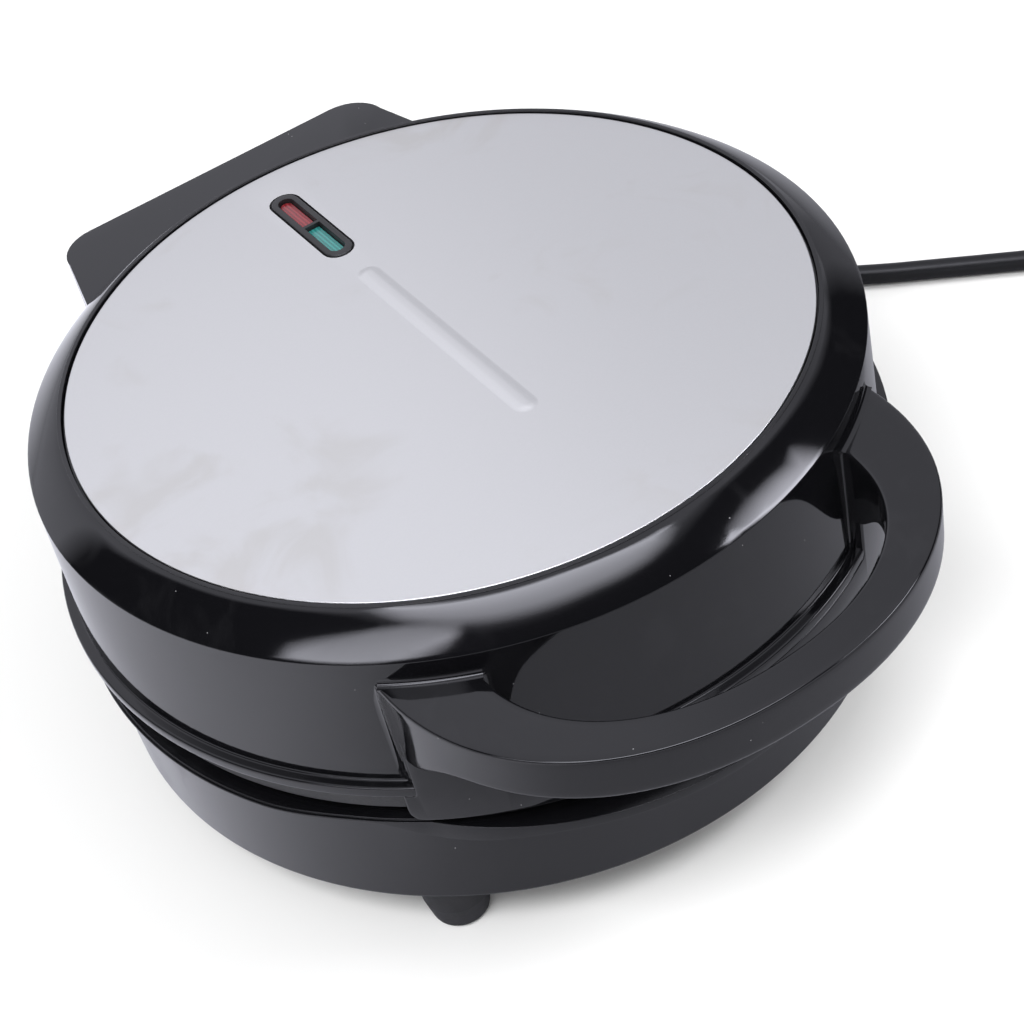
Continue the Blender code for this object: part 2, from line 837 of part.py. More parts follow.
def add_tube(name, run, radius, material, resolution, parent=None):
    """A round tube along (x, y, z, radius share) points."""
    curve = bpy.data.curves.new(name, "CURVE")
    curve.dimensions = "3D"
    curve.bevel_depth = radius
    curve.bevel_resolution = resolution
    curve.use_fill_caps = True
    spline = curve.splines.new("POLY")
    spline.points.add(len(run) - 1)
    for point, (x, y, z, share) in zip(spline.points, run):
        point.co = (x, y, z, 1)
        point.radius = share
    spline.use_smooth = True
    curve.materials.append(material)
    return place(bpy.data.objects.new(name, curve), parent=parent)


def make_heating_element(name, height):
    pin_share = terminal_radius / element_radius
    start = math.pi / 2 + element_half_opening
    sweep = math.tau - 2 * element_half_opening
    ring = arc((0, 0), element_circle, start, start + sweep, element_points)
    run = [(x, y, height, 1) for x, y in ring]
    tips = [(-terminal_x, terminal_y, height, pin_share), (terminal_x, terminal_y, height, pin_share)]
    collars = []
    for tip, shoulder in zip(tips, (run[0], run[-1])):
        step = Vector(tip[:3]) - Vector(shoulder[:3])
        collars.append((*(Vector(shoulder[:3]) + step.normalized() * clearance), pin_share))
    run = [tips[0], collars[0]] + run + [collars[1], tips[1]]
    add_tube(name, run, element_radius, dark_metal, element_resolution, disc_axis)


def make_thermal_fuse():
    height = upper_plate_back + clearance + fuse_radius
    lead = fuse_lead_radius / fuse_radius
    far = fuse_half_length + fuse_lead_length
    near = fuse_half_length + clearance
    places = ((-far, lead), (-near, lead), (-fuse_half_length, 1))
    places += tuple((-x, share) for x, share in reversed(places))
    run = [(x, -fuse_offset, height, share) for x, share in places]
    add_tube("thermal_fuse", run, fuse_radius, sleeve_white, fuse_resolution, disc_axis)


def make_thermostat():
    top = -clearance
    waist = top - thermostat_height
    tip = waist - thermostat_cap_height
    profile = [(0, tip), (thermostat_cap_radius, tip), (thermostat_cap_radius, waist)]
    profile += [(thermostat_radius, waist), (thermostat_radius, top), (0, top)]
    bm = bmesh.new()
    turn_about_axis(bm, profile, small_steps)
    add_piece("thermostat", bm, ceramic, (0, 0, lower_plate_back))


def make_terminal_block():
    half = terminal_block_width / 2
    bm = bmesh.new()
    low = (cord_exit_x - half, terminal_block_front, base_floor + clearance)
    high = (cord_exit_x + half, terminal_block_back, base_floor + clearance + terminal_block_height)
    add_box(bm, low, high)
    block = add_piece("terminal_block", bm, sleeve_white)
    bm = bmesh.new()
    for x in terminal_holes:
        start = (x, terminal_block_front - overrun, terminal_hole_height)
        end = (x, terminal_block_back + overrun, terminal_hole_height)
        add_rod(bm, start, end, terminal_hole_radius)
    cut(block, add_helper("terminal_holes", bm))


def smooth_curve(points, spacing):
    """A Catmull-Rom curve through the points, read at even steps of about the spacing."""
    points = [Vector(point) for point in points]
    ends = [2 * points[0] - points[1]], [2 * points[-1] - points[-2]]
    nodes = ends[0] + points + ends[1]
    fine = []
    for a, b, c, d in zip(nodes, nodes[1:], nodes[2:], nodes[3:]):
        for i in range(curve_read_steps):
            t = i / curve_read_steps
            bend = 2 * a - 5 * b + 4 * c - d
            twist = 3 * b - a - 3 * c + d
            fine.append((2 * b + (c - a) * t + bend * t**2 + twist * t**3) / 2)
    fine.append(points[-1])
    lengths = [0]
    for a, b in zip(fine, fine[1:]):
        lengths.append(lengths[-1] + (b - a).length)
    count = round(lengths[-1] / spacing)
    curve = []
    k = 0
    for i in range(count + 1):
        wanted = lengths[-1] * i / count
        while k < len(lengths) - 2 and lengths[k + 1] < wanted:
            k += 1
        share = (wanted - lengths[k]) / (lengths[k + 1] - lengths[k])
        curve.append(fine[k].lerp(fine[k + 1], min(share, 1)))
    return curve


def add_lead(name, points):
    run = [(*point, 1) for point in smooth_curve(points, wire_radius * wire_step_share)]
    add_tube(name, run, wire_radius, sleeve_white, wire_resolution, disc_axis)


def make_lid_wiring():
    slot = lid_edge + lid_slot_rise + wire_slot_height / 2
    tip = upper_element_height + terminal_radius + 2 * clearance
    lamp_tip = lamp_height - lamp_radius - 2 * clearance
    inner = lid_inner_radius - wire_straight_run
    outer = (hinge_reach + lid_radius) / 2
    halfway = (inner + terminal_y) / 2
    for side, name in ((-1, "upper_heater_lead_left"), (1, "upper_heater_lead_right")):
        near = side * wire_spread
        far = side * terminal_x
        points = [(near, outer, slot), (near, lid_radius, slot), (near, inner, slot)]
        points += [((near + far) / 2, halfway, slot), (far, terminal_y + wire_radius, tip + boss_height)]
        points += [(far, terminal_y, tip + boss_height / 2)]
        add_lead(name, points + [(far, terminal_y, tip)])
    lamps = ((-1, red_lamp_y, "power_lamp_lead"), (1, green_lamp_y, "ready_lamp_lead"))
    for side, lamp_y, name in lamps:
        near = side * wire_radius * lamp_lead_share
        high = slot + 2 * wire_radius + clearance
        points = [(near, outer, high), (near, lid_radius, high), (near, inner, high)]
        points += [(near, lamp_y + frame_depth, frame_bottom - 2 * wire_radius - clearance)]
        add_lead(name, points + [(0, lamp_y, frame_bottom - wire_radius), (0, lamp_y, lamp_tip)])


def make_base_wiring():
    level = terminal_hole_height
    inner = base_inner_radius - wire_straight_run
    left, right = terminal_holes
    front = terminal_block_front - clearance
    tip = lower_element_height - terminal_radius - clearance
    halfway = (inner + terminal_y) / 2
    low = base_floor + 2 * wire_radius
    to_element = [(left, front, level), (left, inner, level), ((left - terminal_x) / 2, halfway, low)]
    to_element += [(-terminal_x, terminal_y + wire_radius, low + wire_radius)]
    to_element += [(-terminal_x, terminal_y, (level + tip) / 2), (-terminal_x, terminal_y, tip)]
    under = lower_plate_back - thermostat_height - thermostat_cap_height - 3 * clearance
    to_thermostat = [(right, front, level), (right, inner, level), (right / 2, terminal_y, low)]
    to_thermostat += [(0, thermostat_radius, low), (0, wire_radius, (low + under) / 2), (0, 0, under)]
    back = terminal_block_back + clearance
    end = block_reach - block_wall - 2 * clearance - gland_flange_thickness
    add_lead("lower_heater_lead", to_element)
    add_lead("thermostat_lead", to_thermostat)
    for side, x, name in ((-1, left, "supply_lead_left"), (1, right, "supply_lead_right")):
        start = cord_exit_x + side * (wire_radius + clearance)
        points = [(start, end, cord_exit_height), (start, end - supply_lead_run, cord_exit_height)]
        points += [(x, back + supply_lead_run, level), (x, back, level)]
        run = [(*point, 1) for point in points]
        add_tube(name, run, wire_radius, sleeve_white, wire_resolution, disc_axis)


def share_between(value, start, end):
    """0 at start, 1 at end, and no more than that on either side."""
    return min(1, max(0, (value - start) / (end - start)))


def rim_reach(angle):
    """The rim's radius, by the angle from the front: a slim edge that fades out beside the ledge."""
    fade = share_between(angle, rim_fade_end, rim_fade_start)
    edge = base_wall_radius + rim_proud_front + (rim_proud - rim_proud_front) * fade
    centre = rim_radius + ledge_projection - ledge_arc_radius
    across = centre * math.sin(angle)
    ledge = centre * math.cos(angle) + math.sqrt(ledge_arc_radius**2 - across**2)
    return max(edge, ledge)


def rim_depth(angle):
    """The height of the rim's upright face, by the angle from the front."""
    full = rim_fascia + (ledge_depth - rim_fascia) * share_between(angle, ledge_start, ledge_deep)
    return full - (ledge_depth - ledge_front_depth) * share_between(angle, ledge_deep, ledge_thin)


def make_base_housing():
    bm = bmesh.new()
    fillet_centre = (base_foot_radius - base_fillet, base_bottom + base_fillet)
    fillet = arc(fillet_centre, base_fillet, -math.pi / 2, 0, fillet_steps)
    wall_high = rim_height - rim_fascia
    profile = [(0, base_bottom)] + fillet + [(base_wall_radius, wall_high)]
    turn_about_axis(bm, profile + [(rim_radius, wall_high), (rim_radius, rim_height), (0, rim_height)])
    for vert in bm.verts:
        radius = math.hypot(vert.co.x, vert.co.y)
        if vert.co.z < wall_high - clearance or radius == 0:
            continue
        angle = abs(math.atan2(vert.co.x, -vert.co.y))
        if vert.co.z < rim_height - clearance:
            vert.co.z = rim_height - rim_depth(angle)
        if radius > rim_radius - clearance:
            grown = rim_reach(angle) / radius
            vert.co.x *= grown
            vert.co.y *= grown
    base = add_piece("base_housing", bm, black_gloss)

    block = (block_half_width, base_foot_radius - wall / 2, block_half_width, block_reach, block_corner)
    bm = bmesh.new()
    add_prism(bm, back_box_outline(*block), base_bottom, block_top)
    join(base, add_helper("hinge_block", bm))

    bm = bmesh.new()
    lip_inner = plate_radius + rim_lip_gap
    lip_low = rim_height - rim_lip_thickness
    points = [(0, base_floor), (base_inner_radius - base_fillet, base_floor)]
    points += [(base_inner_radius, base_floor + base_fillet), (base_inner_radius, lip_low)]
    points += [(lip_inner, lip_low), (lip_inner, rim_height + overrun), (0, rim_height + overrun)]
    turn_about_axis(bm, points)
    cut(base, add_helper("base_cavity", bm))
    bm = bmesh.new()
    cavity = (block_half_width, base_foot_radius - clearance, block_half_width, block_reach, block_corner)
    add_prism(bm, back_cavity_outline(*cavity, block_wall), base_floor, block_top - block_wall)
    cut(base, add_helper("block_cavity", bm))

    bm = bmesh.new()
    low = (cord_exit_x - wire_slot_half_width, base_inner_radius - wire_slot_height, base_floor)
    high = (cord_exit_x + wire_slot_half_width, base_foot_radius + overrun, base_floor + wire_slot_height)
    add_box(bm, low, high)
    inside = (cord_exit_x, block_reach - block_wall - overrun, cord_exit_height)
    outside = (cord_exit_x, block_reach + overrun, cord_exit_height)
    add_rod(bm, inside, outside, gland_neck_radius + clearance)
    cut(base, add_helper("gland_and_wire_cuts", bm))

    bm = bmesh.new()
    for x, y in four_posts():
        add_rod(bm, (x, y, base_floor - floor_thickness / 2), (x, y, lower_post_end), post_radius)
    for side in (-1, 1):
        inner = min(side * base_knuckle_inner, side * base_knuckle_outer)
        outer = max(side * base_knuckle_inner, side * base_knuckle_outer)
        web_back = hinge_reach + knuckle_radius * web_back_share
        low = (inner, hinge_reach - knuckle_radius, block_top - block_wall / 2)
        add_box(bm, low, (outer, web_back, hinge_height))
    join(base, add_helper("base_posts_and_webs", bm))
    join(base, knuckle_barrels("base_barrels", base_knuckle_inner, base_knuckle_outer))
    cut(base, pin_bores)

    bm = bmesh.new()
    for x, y in four_posts():
        ledge = lower_post_end - post_end_thickness
        add_rod(bm, (x, y, base_bottom - overrun), (x, y, ledge), counterbore_radius)
    cut(base, add_helper("base_counterbores", bm))
    bm = bmesh.new()
    for x, y in four_posts():
        add_rod(bm, (x, y, base_floor), (x, y, lower_post_end + overrun), hole_radius)
    cut(base, add_helper("base_screw_holes", bm))


def make_feet():
    top = foot_height - clearance
    profile = [(0, 0), (foot_sole_radius - foot_edge, 0), (foot_sole_radius, foot_edge)]
    profile += [(foot_waist_radius, top * foot_waist_share), (foot_top_radius, top), (0, top)]
    for y_side, y_name in ((-1, "front"), (1, "rear")):
        for x_side, x_name in ((-1, "left"), (1, "right")):
            bm = bmesh.new()
            turn_about_axis(bm, profile, foot_steps)
            x = x_side * foot_circle * math.sin(foot_angle)
            y = y_side * foot_circle * math.cos(foot_angle)
            add_piece(f"foot_{y_name}_{x_name}", bm, foot_rubber, (x, y, 0))


def make_cord_gland():
    inner = -block_wall - clearance
    outer = clearance + gland_flange_thickness
    profile = [(0, inner - gland_flange_thickness), (gland_flange_radius, inner - gland_flange_thickness)]
    profile += [(gland_flange_radius, inner), (gland_neck_radius, inner), (gland_neck_radius, clearance)]
    profile += [(gland_flange_radius, clearance), (gland_flange_radius, outer), (boot_root_radius, outer)]
    profile += [(boot_tip_radius, outer + boot_length), (0, outer + boot_length)]
    bm = bmesh.new()
    turn_about_axis(bm, profile, small_steps, Matrix.Rotation(-math.pi / 2, 4, "X"))
    add_piece("cord_gland", bm, cord_black, (cord_exit_x, block_reach, cord_exit_height))


def coil_path(start, heading):
    """A flat coil in two layers: in towards the middle, up a layer, and out again."""
    first = start + heading * cord_diameter
    side = Vector((heading.y, -heading.x, 0))
    centre = first + side * coil_radius
    begin = math.atan2(first.y - centre.y, first.x - centre.x)
    steps = round(coil_turns * coil_points_per_turn)
    points = [start]
    for i in range(steps + 1):
        turned = coil_turns * i / steps
        inward = min(turned, coil_turns - turned)
        radius = coil_radius - coil_pitch * inward
        climb = min(1, max(0, (turned - coil_turns / 2) / climb_turns + 1 / 2))
        angle = begin - math.tau * turned
        place_now = Vector((radius * math.cos(angle), radius * math.sin(angle), coil_pitch * climb))
        points.append(centre + place_now)
    way = Vector((math.sin(angle), -math.cos(angle), 0))
    points.append(points[-1] + way * cord_diameter)
    return points, way


def least_gap(points):
    """The smallest air gap between parts of the tube that are more than half a turn apart."""
    gap = math.inf
    apart = coil_points_per_turn // 2
    for i, a in enumerate(points):
        for b in points[i + apart :]:
            gap = min(gap, (a - b).length - cord_diameter)
    return gap


def path_length(points):
    return sum((b - a).length for a, b in zip(points, points[1:]))


def make_cord():
    run = smooth_curve(cord_route, cord_spacing)
    add_tube("power_cord_run", [(*point, 1) for point in run], cord_radius, cord_black, cord_resolution)
    heading = (Vector(cord_route[-1]) - Vector(cord_route[-2])).normalized()
    coil, way = coil_path(run[-1] + heading * clearance, heading)
    add_tube("power_cord_coil", [(*point, 1) for point in coil], cord_radius, cord_black, coil_resolution)
    print("cord length in metres:", round(path_length(run) + path_length(coil), 4))
    print("coil's least gap in metres:", round(least_gap(coil), 5))
    return coil[-1] + way * clearance, way


def make_plug(start, way):
    """The plug lies flat beside the coil. Its own +Y runs from the boot to the pins."""
    turn = math.atan2(way.y, way.x) - math.pi / 2
    place_at = (start.x, start.y, plug_half_height)
    half = plug_width / 2
    bm = bmesh.new()
    near = plug_boot_length
    far = near + plug_length
    corners = [(half - plug_corner, near), (half, near + plug_corner), (half, far)]
    bottom = clearance / 2 - plug_half_height
    add_prism(bm, mirrored(corners), bottom, -bottom)
    body = add_piece("plug_body", bm, cord_black, place_at, turn, floor)
    bm = bmesh.new()
    add_rod(bm, (0, 0, 0), (0, near + plug_corner, 0), boot_tip_radius, small_steps, boot_root_radius)
    join(body, add_helper("plug_boot", bm, place_at, turn, floor))
    for side, name in ((-1, "plug_pin_left"), (1, "plug_pin_right")):
        bm = bmesh.new()
        x = side * plug_pin_pitch / 2
        add_rod(bm, (x, far + clearance, 0), (x, far + plug_pin_length, 0), plug_pin_radius)
        add_piece(name, bm, brass, place_at, turn, floor)


for obj in list(bpy.data.objects):
    bpy.data.objects.remove(obj, do_unlink=True)

black_gloss = make_material("black_gloss", (0.010, 0.010, 0.012), 0.12)
black_satin = make_material("black_satin", (0.020, 0.020, 0.022), 0.35)
brushed_steel = make_material("brushed_steel", (0.63, 0.63, 0.66), 0.32, 1.0)
steel = make_material("steel", (0.45, 0.45, 0.47), 0.35, 1.0)
bright_metal = make_material("bright_metal", (0.70, 0.70, 0.70), 0.30, 1.0)
dark_metal = make_material("dark_metal", (0.18, 0.17, 0.16), 0.50, 1.0)
dark_coating = make_material("dark_coating", (0.030, 0.030, 0.032), 0.45)
red_glass = make_material("red_glass", (0.30, 0.020, 0.025), 0.15)
green_glass = make_material("green_glass", (0.050, 0.30, 0.26), 0.15)
lamp_glass = make_material("lamp_glass", (0.75, 0.72, 0.68), 0.10)
foot_rubber = make_material("foot_rubber", (0.030, 0.030, 0.032), 0.70)
cord_black = make_material("cord_black", (0.015, 0.015, 0.016), 0.50)
sleeve_white = make_material("sleeve_white", (0.75, 0.74, 0.70), 0.80)
ceramic = make_material("ceramic", (0.70, 0.66, 0.58), 0.60)
brass = make_material("brass", (0.60, 0.50, 0.28), 0.30, 1.0)
helper_material = make_material("helper", (0.80, 0.30, 0.10), 0.80)

floor = place(bpy.data.objects.new("floor", None))
disc_axis = place(bpy.data.objects.new("disc_axis", None), (0, disc_axis_y, 0))
pin_bores = make_pin_bores()

make_lid_housing()
make_steel_top()
make_lights()
make_cooking_plate("upper_cooking_plate", upper_flange_bottom, 1)
make_plate_screws("upper_plate_screw", upper_post_end, upper_boss_end, -1)
make_heat_shield("upper_heat_shield", upper_boss_end + clearance, -1)
make_heating_element("upper_heating_element", upper_element_height)
make_thermal_fuse()
make_lid_wiring()
make_base_housing()
make_cooking_plate("lower_cooking_plate", lower_flange_top, -1)
make_plate_screws("lower_plate_screw", lower_post_end, lower_boss_end, 1)
make_heat_shield("lower_heat_shield", lower_boss_end - clearance, 1)
make_heating_element("lower_heating_element", lower_element_height)
make_thermostat()
make_terminal_block()
make_base_wiring()
make_feet()
make_hinge_pins()
make_cord_gland()
make_plug(*make_cord())
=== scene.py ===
import math

import bmesh
import bpy
from mathutils import Matrix, Vector


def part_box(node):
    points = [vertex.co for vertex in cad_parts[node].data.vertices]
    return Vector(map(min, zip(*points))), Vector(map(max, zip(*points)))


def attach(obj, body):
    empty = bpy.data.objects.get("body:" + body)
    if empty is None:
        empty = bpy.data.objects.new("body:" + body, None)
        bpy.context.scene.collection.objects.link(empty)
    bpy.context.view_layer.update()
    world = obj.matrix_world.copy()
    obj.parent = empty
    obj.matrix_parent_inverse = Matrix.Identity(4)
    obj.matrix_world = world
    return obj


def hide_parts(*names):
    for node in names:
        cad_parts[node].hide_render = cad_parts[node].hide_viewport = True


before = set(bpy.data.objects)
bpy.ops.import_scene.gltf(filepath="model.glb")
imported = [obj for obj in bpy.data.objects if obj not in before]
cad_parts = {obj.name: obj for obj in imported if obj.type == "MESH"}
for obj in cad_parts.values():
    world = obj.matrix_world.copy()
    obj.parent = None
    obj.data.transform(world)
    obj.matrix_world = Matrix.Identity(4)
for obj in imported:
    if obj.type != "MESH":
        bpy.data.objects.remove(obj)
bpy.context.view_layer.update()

discLow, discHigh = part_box("steel_top_plate")
axisY = (discLow.y + discHigh.y) / 2

# Pieces are drawn in millimetres about the axis of the steel disc, heights from the floor.
toFrame = Matrix.Translation((0, axisY, 0)) @ Matrix.Scale(0.001, 4)
print("frame loaded:", len(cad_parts), "nodes")


# Camera

cameraSetup = {
    "place": (-0.1567, -0.3549, 0.3968),
    "azimuth": -24.574,
    "elevation": 42.286,
    "roll": -13.632,
    "lens": 72.79,
}


def makeCamera(setup):
    azimuth = math.radians(setup["azimuth"])
    elevation = math.radians(setup["elevation"])
    level = math.cos(elevation)
    back = Vector((math.sin(azimuth) * level, -math.cos(azimuth) * level, math.sin(elevation)))
    camera = bpy.data.objects.new("camera", bpy.data.cameras.new("camera"))
    camera.data.lens = setup["lens"]
    camera.data.sensor_width = 36
    camera.data.clip_start = 0.01
    turn = (-back).to_track_quat("-Z", "Y").to_matrix().to_4x4()
    roll = Matrix.Rotation(math.radians(setup["roll"]), 4, "Z")
    camera.matrix_world = Matrix.Translation(setup["place"]) @ turn @ roll
    bpy.context.scene.collection.objects.link(camera)
    bpy.context.scene.camera = camera
    return camera


camera = makeCamera(cameraSetup)
rotation = camera.matrix_world.to_3x3()
for label, column in (("right", 0), ("up", 1)):
    print("camera", label, [round(value, 4) for value in rotation.col[column]])


# Cord, from the gland down to the floor, round the back and into a flat coil

cordSizes = {
    "radius": 0.0030,
    "coilRadius": 0.0374,
    "coilTurns": 2.25,
    "coilGap": 0.0005,
    "pointsPerTurn": 24,
    "climbTurns": 0.5,
    "clearance": 0.0003,
    "length": 0.8473,
}
cordRoute = [
    (-0.0180, 0.1568, 0.0250),
    (-0.0180, 0.1640, 0.0249),
    (-0.0168, 0.1732, 0.0229),
    (-0.0118, 0.1830, 0.0184),
    (-0.0028, 0.1902, 0.0127),
    (0.0090, 0.1926, 0.0079),
    (0.0212, 0.1898, 0.0049),
    (0.0332, 0.1820, 0.0035),
    (0.0470, 0.1690, 0.0031),
    (0.0700, 0.1450, 0.0031),
    (0.0950, 0.1174, 0.0031),
    (0.1200, 0.0898, 0.0031),
    (0.1440, 0.0658, 0.0031),
    (0.1655, 0.0465, 0.0031),
    (0.1768, 0.0374, 0.0031),
    (0.1881, 0.0285, 0.0031),
    (0.1994, 0.0197, 0.0031),
    (0.2112, 0.0105, 0.0031),
    (0.2230, 0.0013, 0.0031),
    (0.2348, -0.0079, 0.0031),
]


def smoothRun(points, parts):
    # a curve through all the points, with a few more between each pair
    points = [Vector(point) for point in points]
    chain = [2 * points[0] - points[1]] + points + [2 * points[-1] - points[-2]]
    run = []
    for a, b, c, d in zip(chain, chain[1:], chain[2:], chain[3:]):
        for i in range(parts):
            t = i / parts
            bend = 2 * a - 5 * b + 4 * c - d
            twist = 3 * b - a - 3 * c + d
            run.append((2 * b + (c - a) * t + bend * t**2 + twist * t**3) / 2)
    return run + [points[-1]]


def coilRun(start, heading, sizes):
    # a flat coil in two layers: in towards the middle, up a layer, and out again
    first = start + heading * 2 * sizes["radius"]
    centre = first + Vector((heading.y, -heading.x, 0)) * sizes["coilRadius"]
    begin = math.atan2(first.y - centre.y, first.x - centre.x)
    pitch = 2 * sizes["radius"] + sizes["coilGap"]
    turns = sizes["coilTurns"]
    steps = round(turns * sizes["pointsPerTurn"])
    run = []
    for i in range(steps + 1):
        turned = turns * i / steps
        radius = sizes["coilRadius"] - pitch * min(turned, turns - turned)
        climb = min(1, max(0, (turned - turns / 2) / sizes["climbTurns"] + 1 / 2))
        angle = begin - math.tau * turned
        run.append(centre + Vector((radius * math.cos(angle), radius * math.sin(angle), pitch * climb)))
    way = Vector((math.sin(angle), -math.cos(angle), 0))
    return run + [run[-1] + way * 2 * sizes["radius"]], way


cordHeading = (Vector(cordRoute[-1]) - Vector(cordRoute[-2])).normalized()
coilStart = Vector(cordRoute[-1]) + cordHeading * cordSizes["clearance"]
coilPoints, plugWay = coilRun(coilStart, cordHeading, cordSizes)
cordPoints = smoothRun(cordRoute, 6) + coilPoints
print("cord runs", round(sum((b - a).length for a, b in zip(cordPoints, cordPoints[1:])), 4), "m")


# Shared surface effects, as node groups

def setInputs(tree, node, inputs):
    # links a socket, and writes any other value on the input itself
    for name, value in inputs.items():
        if isinstance(value, bpy.types.NodeSocket):
            tree.links.new(value, node.inputs[name])
        else:
            node.inputs[name].default_value = value


def addNode(tree, kind, inputs=None, **settings):
    node = tree.nodes.new("ShaderNode" + kind)
    for name, value in settings.items():
        setattr(node, name, value)
    setInputs(tree, node, inputs or {})
    return node


def calculate(tree, operation, *values):
    return addNode(tree, "Math", dict(enumerate(values)), operation=operation).outputs[0]


def startGroup(name, values, results):
    group = bpy.data.node_groups.new(name, "ShaderNodeTree")
    group.interface.new_socket("Vector", in_out="INPUT", socket_type="NodeSocketVector")
    for label, value in values.items():
        socket = group.interface.new_socket(label, in_out="INPUT", socket_type="NodeSocketFloat")
        socket.default_value = value
    for label in results:
        group.interface.new_socket(label, in_out="OUTPUT", socket_type="NodeSocketFloat")
    inside = group.nodes.new("NodeGroupInput")
    outside = group.nodes.new("NodeGroupOutput")
    return group, inside.outputs, outside


def makeGrainGroup():
    # fine all-over grain: 0 to 1 about one half
    group, given, end = startGroup("fineGrain", {"Scale": 4000, "Contrast": 1.0}, ["Grain"])
    noise = addNode(group, "TexNoise", {"Vector": given["Vector"], "Scale": given["Scale"], "Detail": 2.0})
    centred = calculate(group, "SUBTRACT", noise.outputs["Fac"], 0.5)
    scaled = calculate(group, "MULTIPLY_ADD", centred, given["Contrast"], 0.5)
    group.links.new(scaled, end.inputs["Grain"])
    return group


def makeSpeckGroup():
    # sparse small specks, as of dust: 1 on a speck and 0 elsewhere
    group, given, end = startGroup("dustSpecks", {"Scale": 300, "Size": 0.06, "Share": 0.08}, ["Specks"])
    cells = addNode(group, "TexVoronoi", {"Vector": given["Vector"], "Scale": given["Scale"]})
    inner = calculate(group, "MULTIPLY", given["Size"], 0.4)
    size = {"Value": cells.outputs["Distance"], "From Min": given["Size"], "From Max": inner}
    near = addNode(group, "MapRange", size)
    pick = addNode(group, "SeparateColor", {"Color": cells.outputs["Color"]})
    chosen = calculate(group, "LESS_THAN", pick.outputs["Red"], given["Share"])
    both = calculate(group, "MULTIPLY", near.outputs["Result"], chosen)
    group.links.new(both, end.inputs["Specks"])
    return group


def makeSmudgeGroup():
    # soft handling marks: broad patches broken up by finger-sized ones
    group, given, end = startGroup("smudges", {"Scale": 14, "Finger Scale": 60, "Cover": 0.5}, ["Smudge"])
    broad = {"Vector": given["Vector"], "Scale": given["Scale"], "Detail": 3.0, "Roughness": 0.6}
    broad = addNode(group, "TexNoise", broad).outputs["Fac"]
    fingers = {"Vector": given["Vector"], "Scale": given["Finger Scale"], "Detail": 4.0, "Distortion": 1.2}
    fingers = addNode(group, "TexNoise", fingers).outputs["Fac"]
    mixed = calculate(group, "MULTIPLY", broad, fingers)
    low = calculate(group, "MULTIPLY_ADD", calculate(group, "SUBTRACT", 0.5, given["Cover"]), 0.2, 0.25)
    high = calculate(group, "ADD", low, 0.14)
    mask = {"Value": mixed, "From Min": low, "From Max": high}
    mask = addNode(group, "MapRange", mask, interpolation_type="SMOOTHSTEP").outputs["Result"]
    group.links.new(mask, end.inputs["Smudge"])
    return group


def makeScratchGroup():
    # hairlines in two directions
    group, given, end = startGroup("hairlines", {"Scale": 40, "Width": 0.012}, ["Hairlines"])
    found = []
    for turn, seed in ((0.5, 0.0), (2.2, 3.1)):
        place = {"Vector": given["Vector"], "Location": (seed, seed, 0), "Rotation": (0, 0, turn)}
        mapped = addNode(group, "Mapping", {**place, "Scale": (1.0, 14.0, 14.0)}).outputs[0]
        noise = addNode(group, "TexNoise", {"Vector": mapped, "Scale": given["Scale"], "Detail": 1.0})
        far = calculate(group, "ABSOLUTE", calculate(group, "SUBTRACT", noise.outputs["Fac"], 0.5))
        line = {"Value": far, "From Min": given["Width"], "From Max": 0.0}
        found.append(addNode(group, "MapRange", line).outputs[0])
    group.links.new(calculate(group, "MAXIMUM", *found), end.inputs["Hairlines"])
    return group


def makeBraidGroup():
    # two crossed waves, as of a fine weave
    group, given, end = startGroup("braid", {"Scale": 600, "Distortion": 0.4}, ["Braid"])
    found = []
    for turn in (0.8, -0.8):
        turned = addNode(group, "Mapping", {"Vector": given["Vector"], "Rotation": (turn, turn, turn)})
        wave = {"Vector": turned.outputs[0], "Scale": given["Scale"], "Distortion": given["Distortion"]}
        found.append(addNode(group, "TexWave", wave).outputs["Fac"])
    group.links.new(calculate(group, "MAXIMUM", *found), end.inputs["Braid"])
    return group


groups = {
    "grain": makeGrainGroup(),
    "specks": makeSpeckGroup(),
    "smudges": makeSmudgeGroup(),
    "hairlines": makeScratchGroup(),
    "braid": makeBraidGroup(),
}


def useEffect(tree, kind, inputs):
    # a shared effect by its name, or one of Blender's own textures by its kind
    if kind not in groups:
        return addNode(tree, kind, inputs).outputs["Fac"]
    node = tree.nodes.new("ShaderNodeGroup")
    node.node_tree = groups[kind]
    setInputs(tree, node, inputs)
    return node.outputs[0]


# Materials

def colourMix(tree, share, first, second):
    mix = addNode(tree, "Mix", data_type="RGBA")
    tree.links.new(share, mix.inputs["Factor"])
    # inputs 6 and 7 and output 2 are the colour ones
    for index, value in ((6, first), (7, second)):
        setInputs(tree, mix, {index: value if isinstance(value, bpy.types.NodeSocket) else (*value, 1.0)})
    return mix.outputs[2]


def toned(colour, times, lift=0.0):
    return tuple(min(1, value * times + lift) for value in colour)


def scaledSum(tree, base, parts):
    # base plus each socket times its weight
    total = base
    for socket, weight in parts:
        total = calculate(tree, "MULTIPLY_ADD", socket, weight, total)
    return total


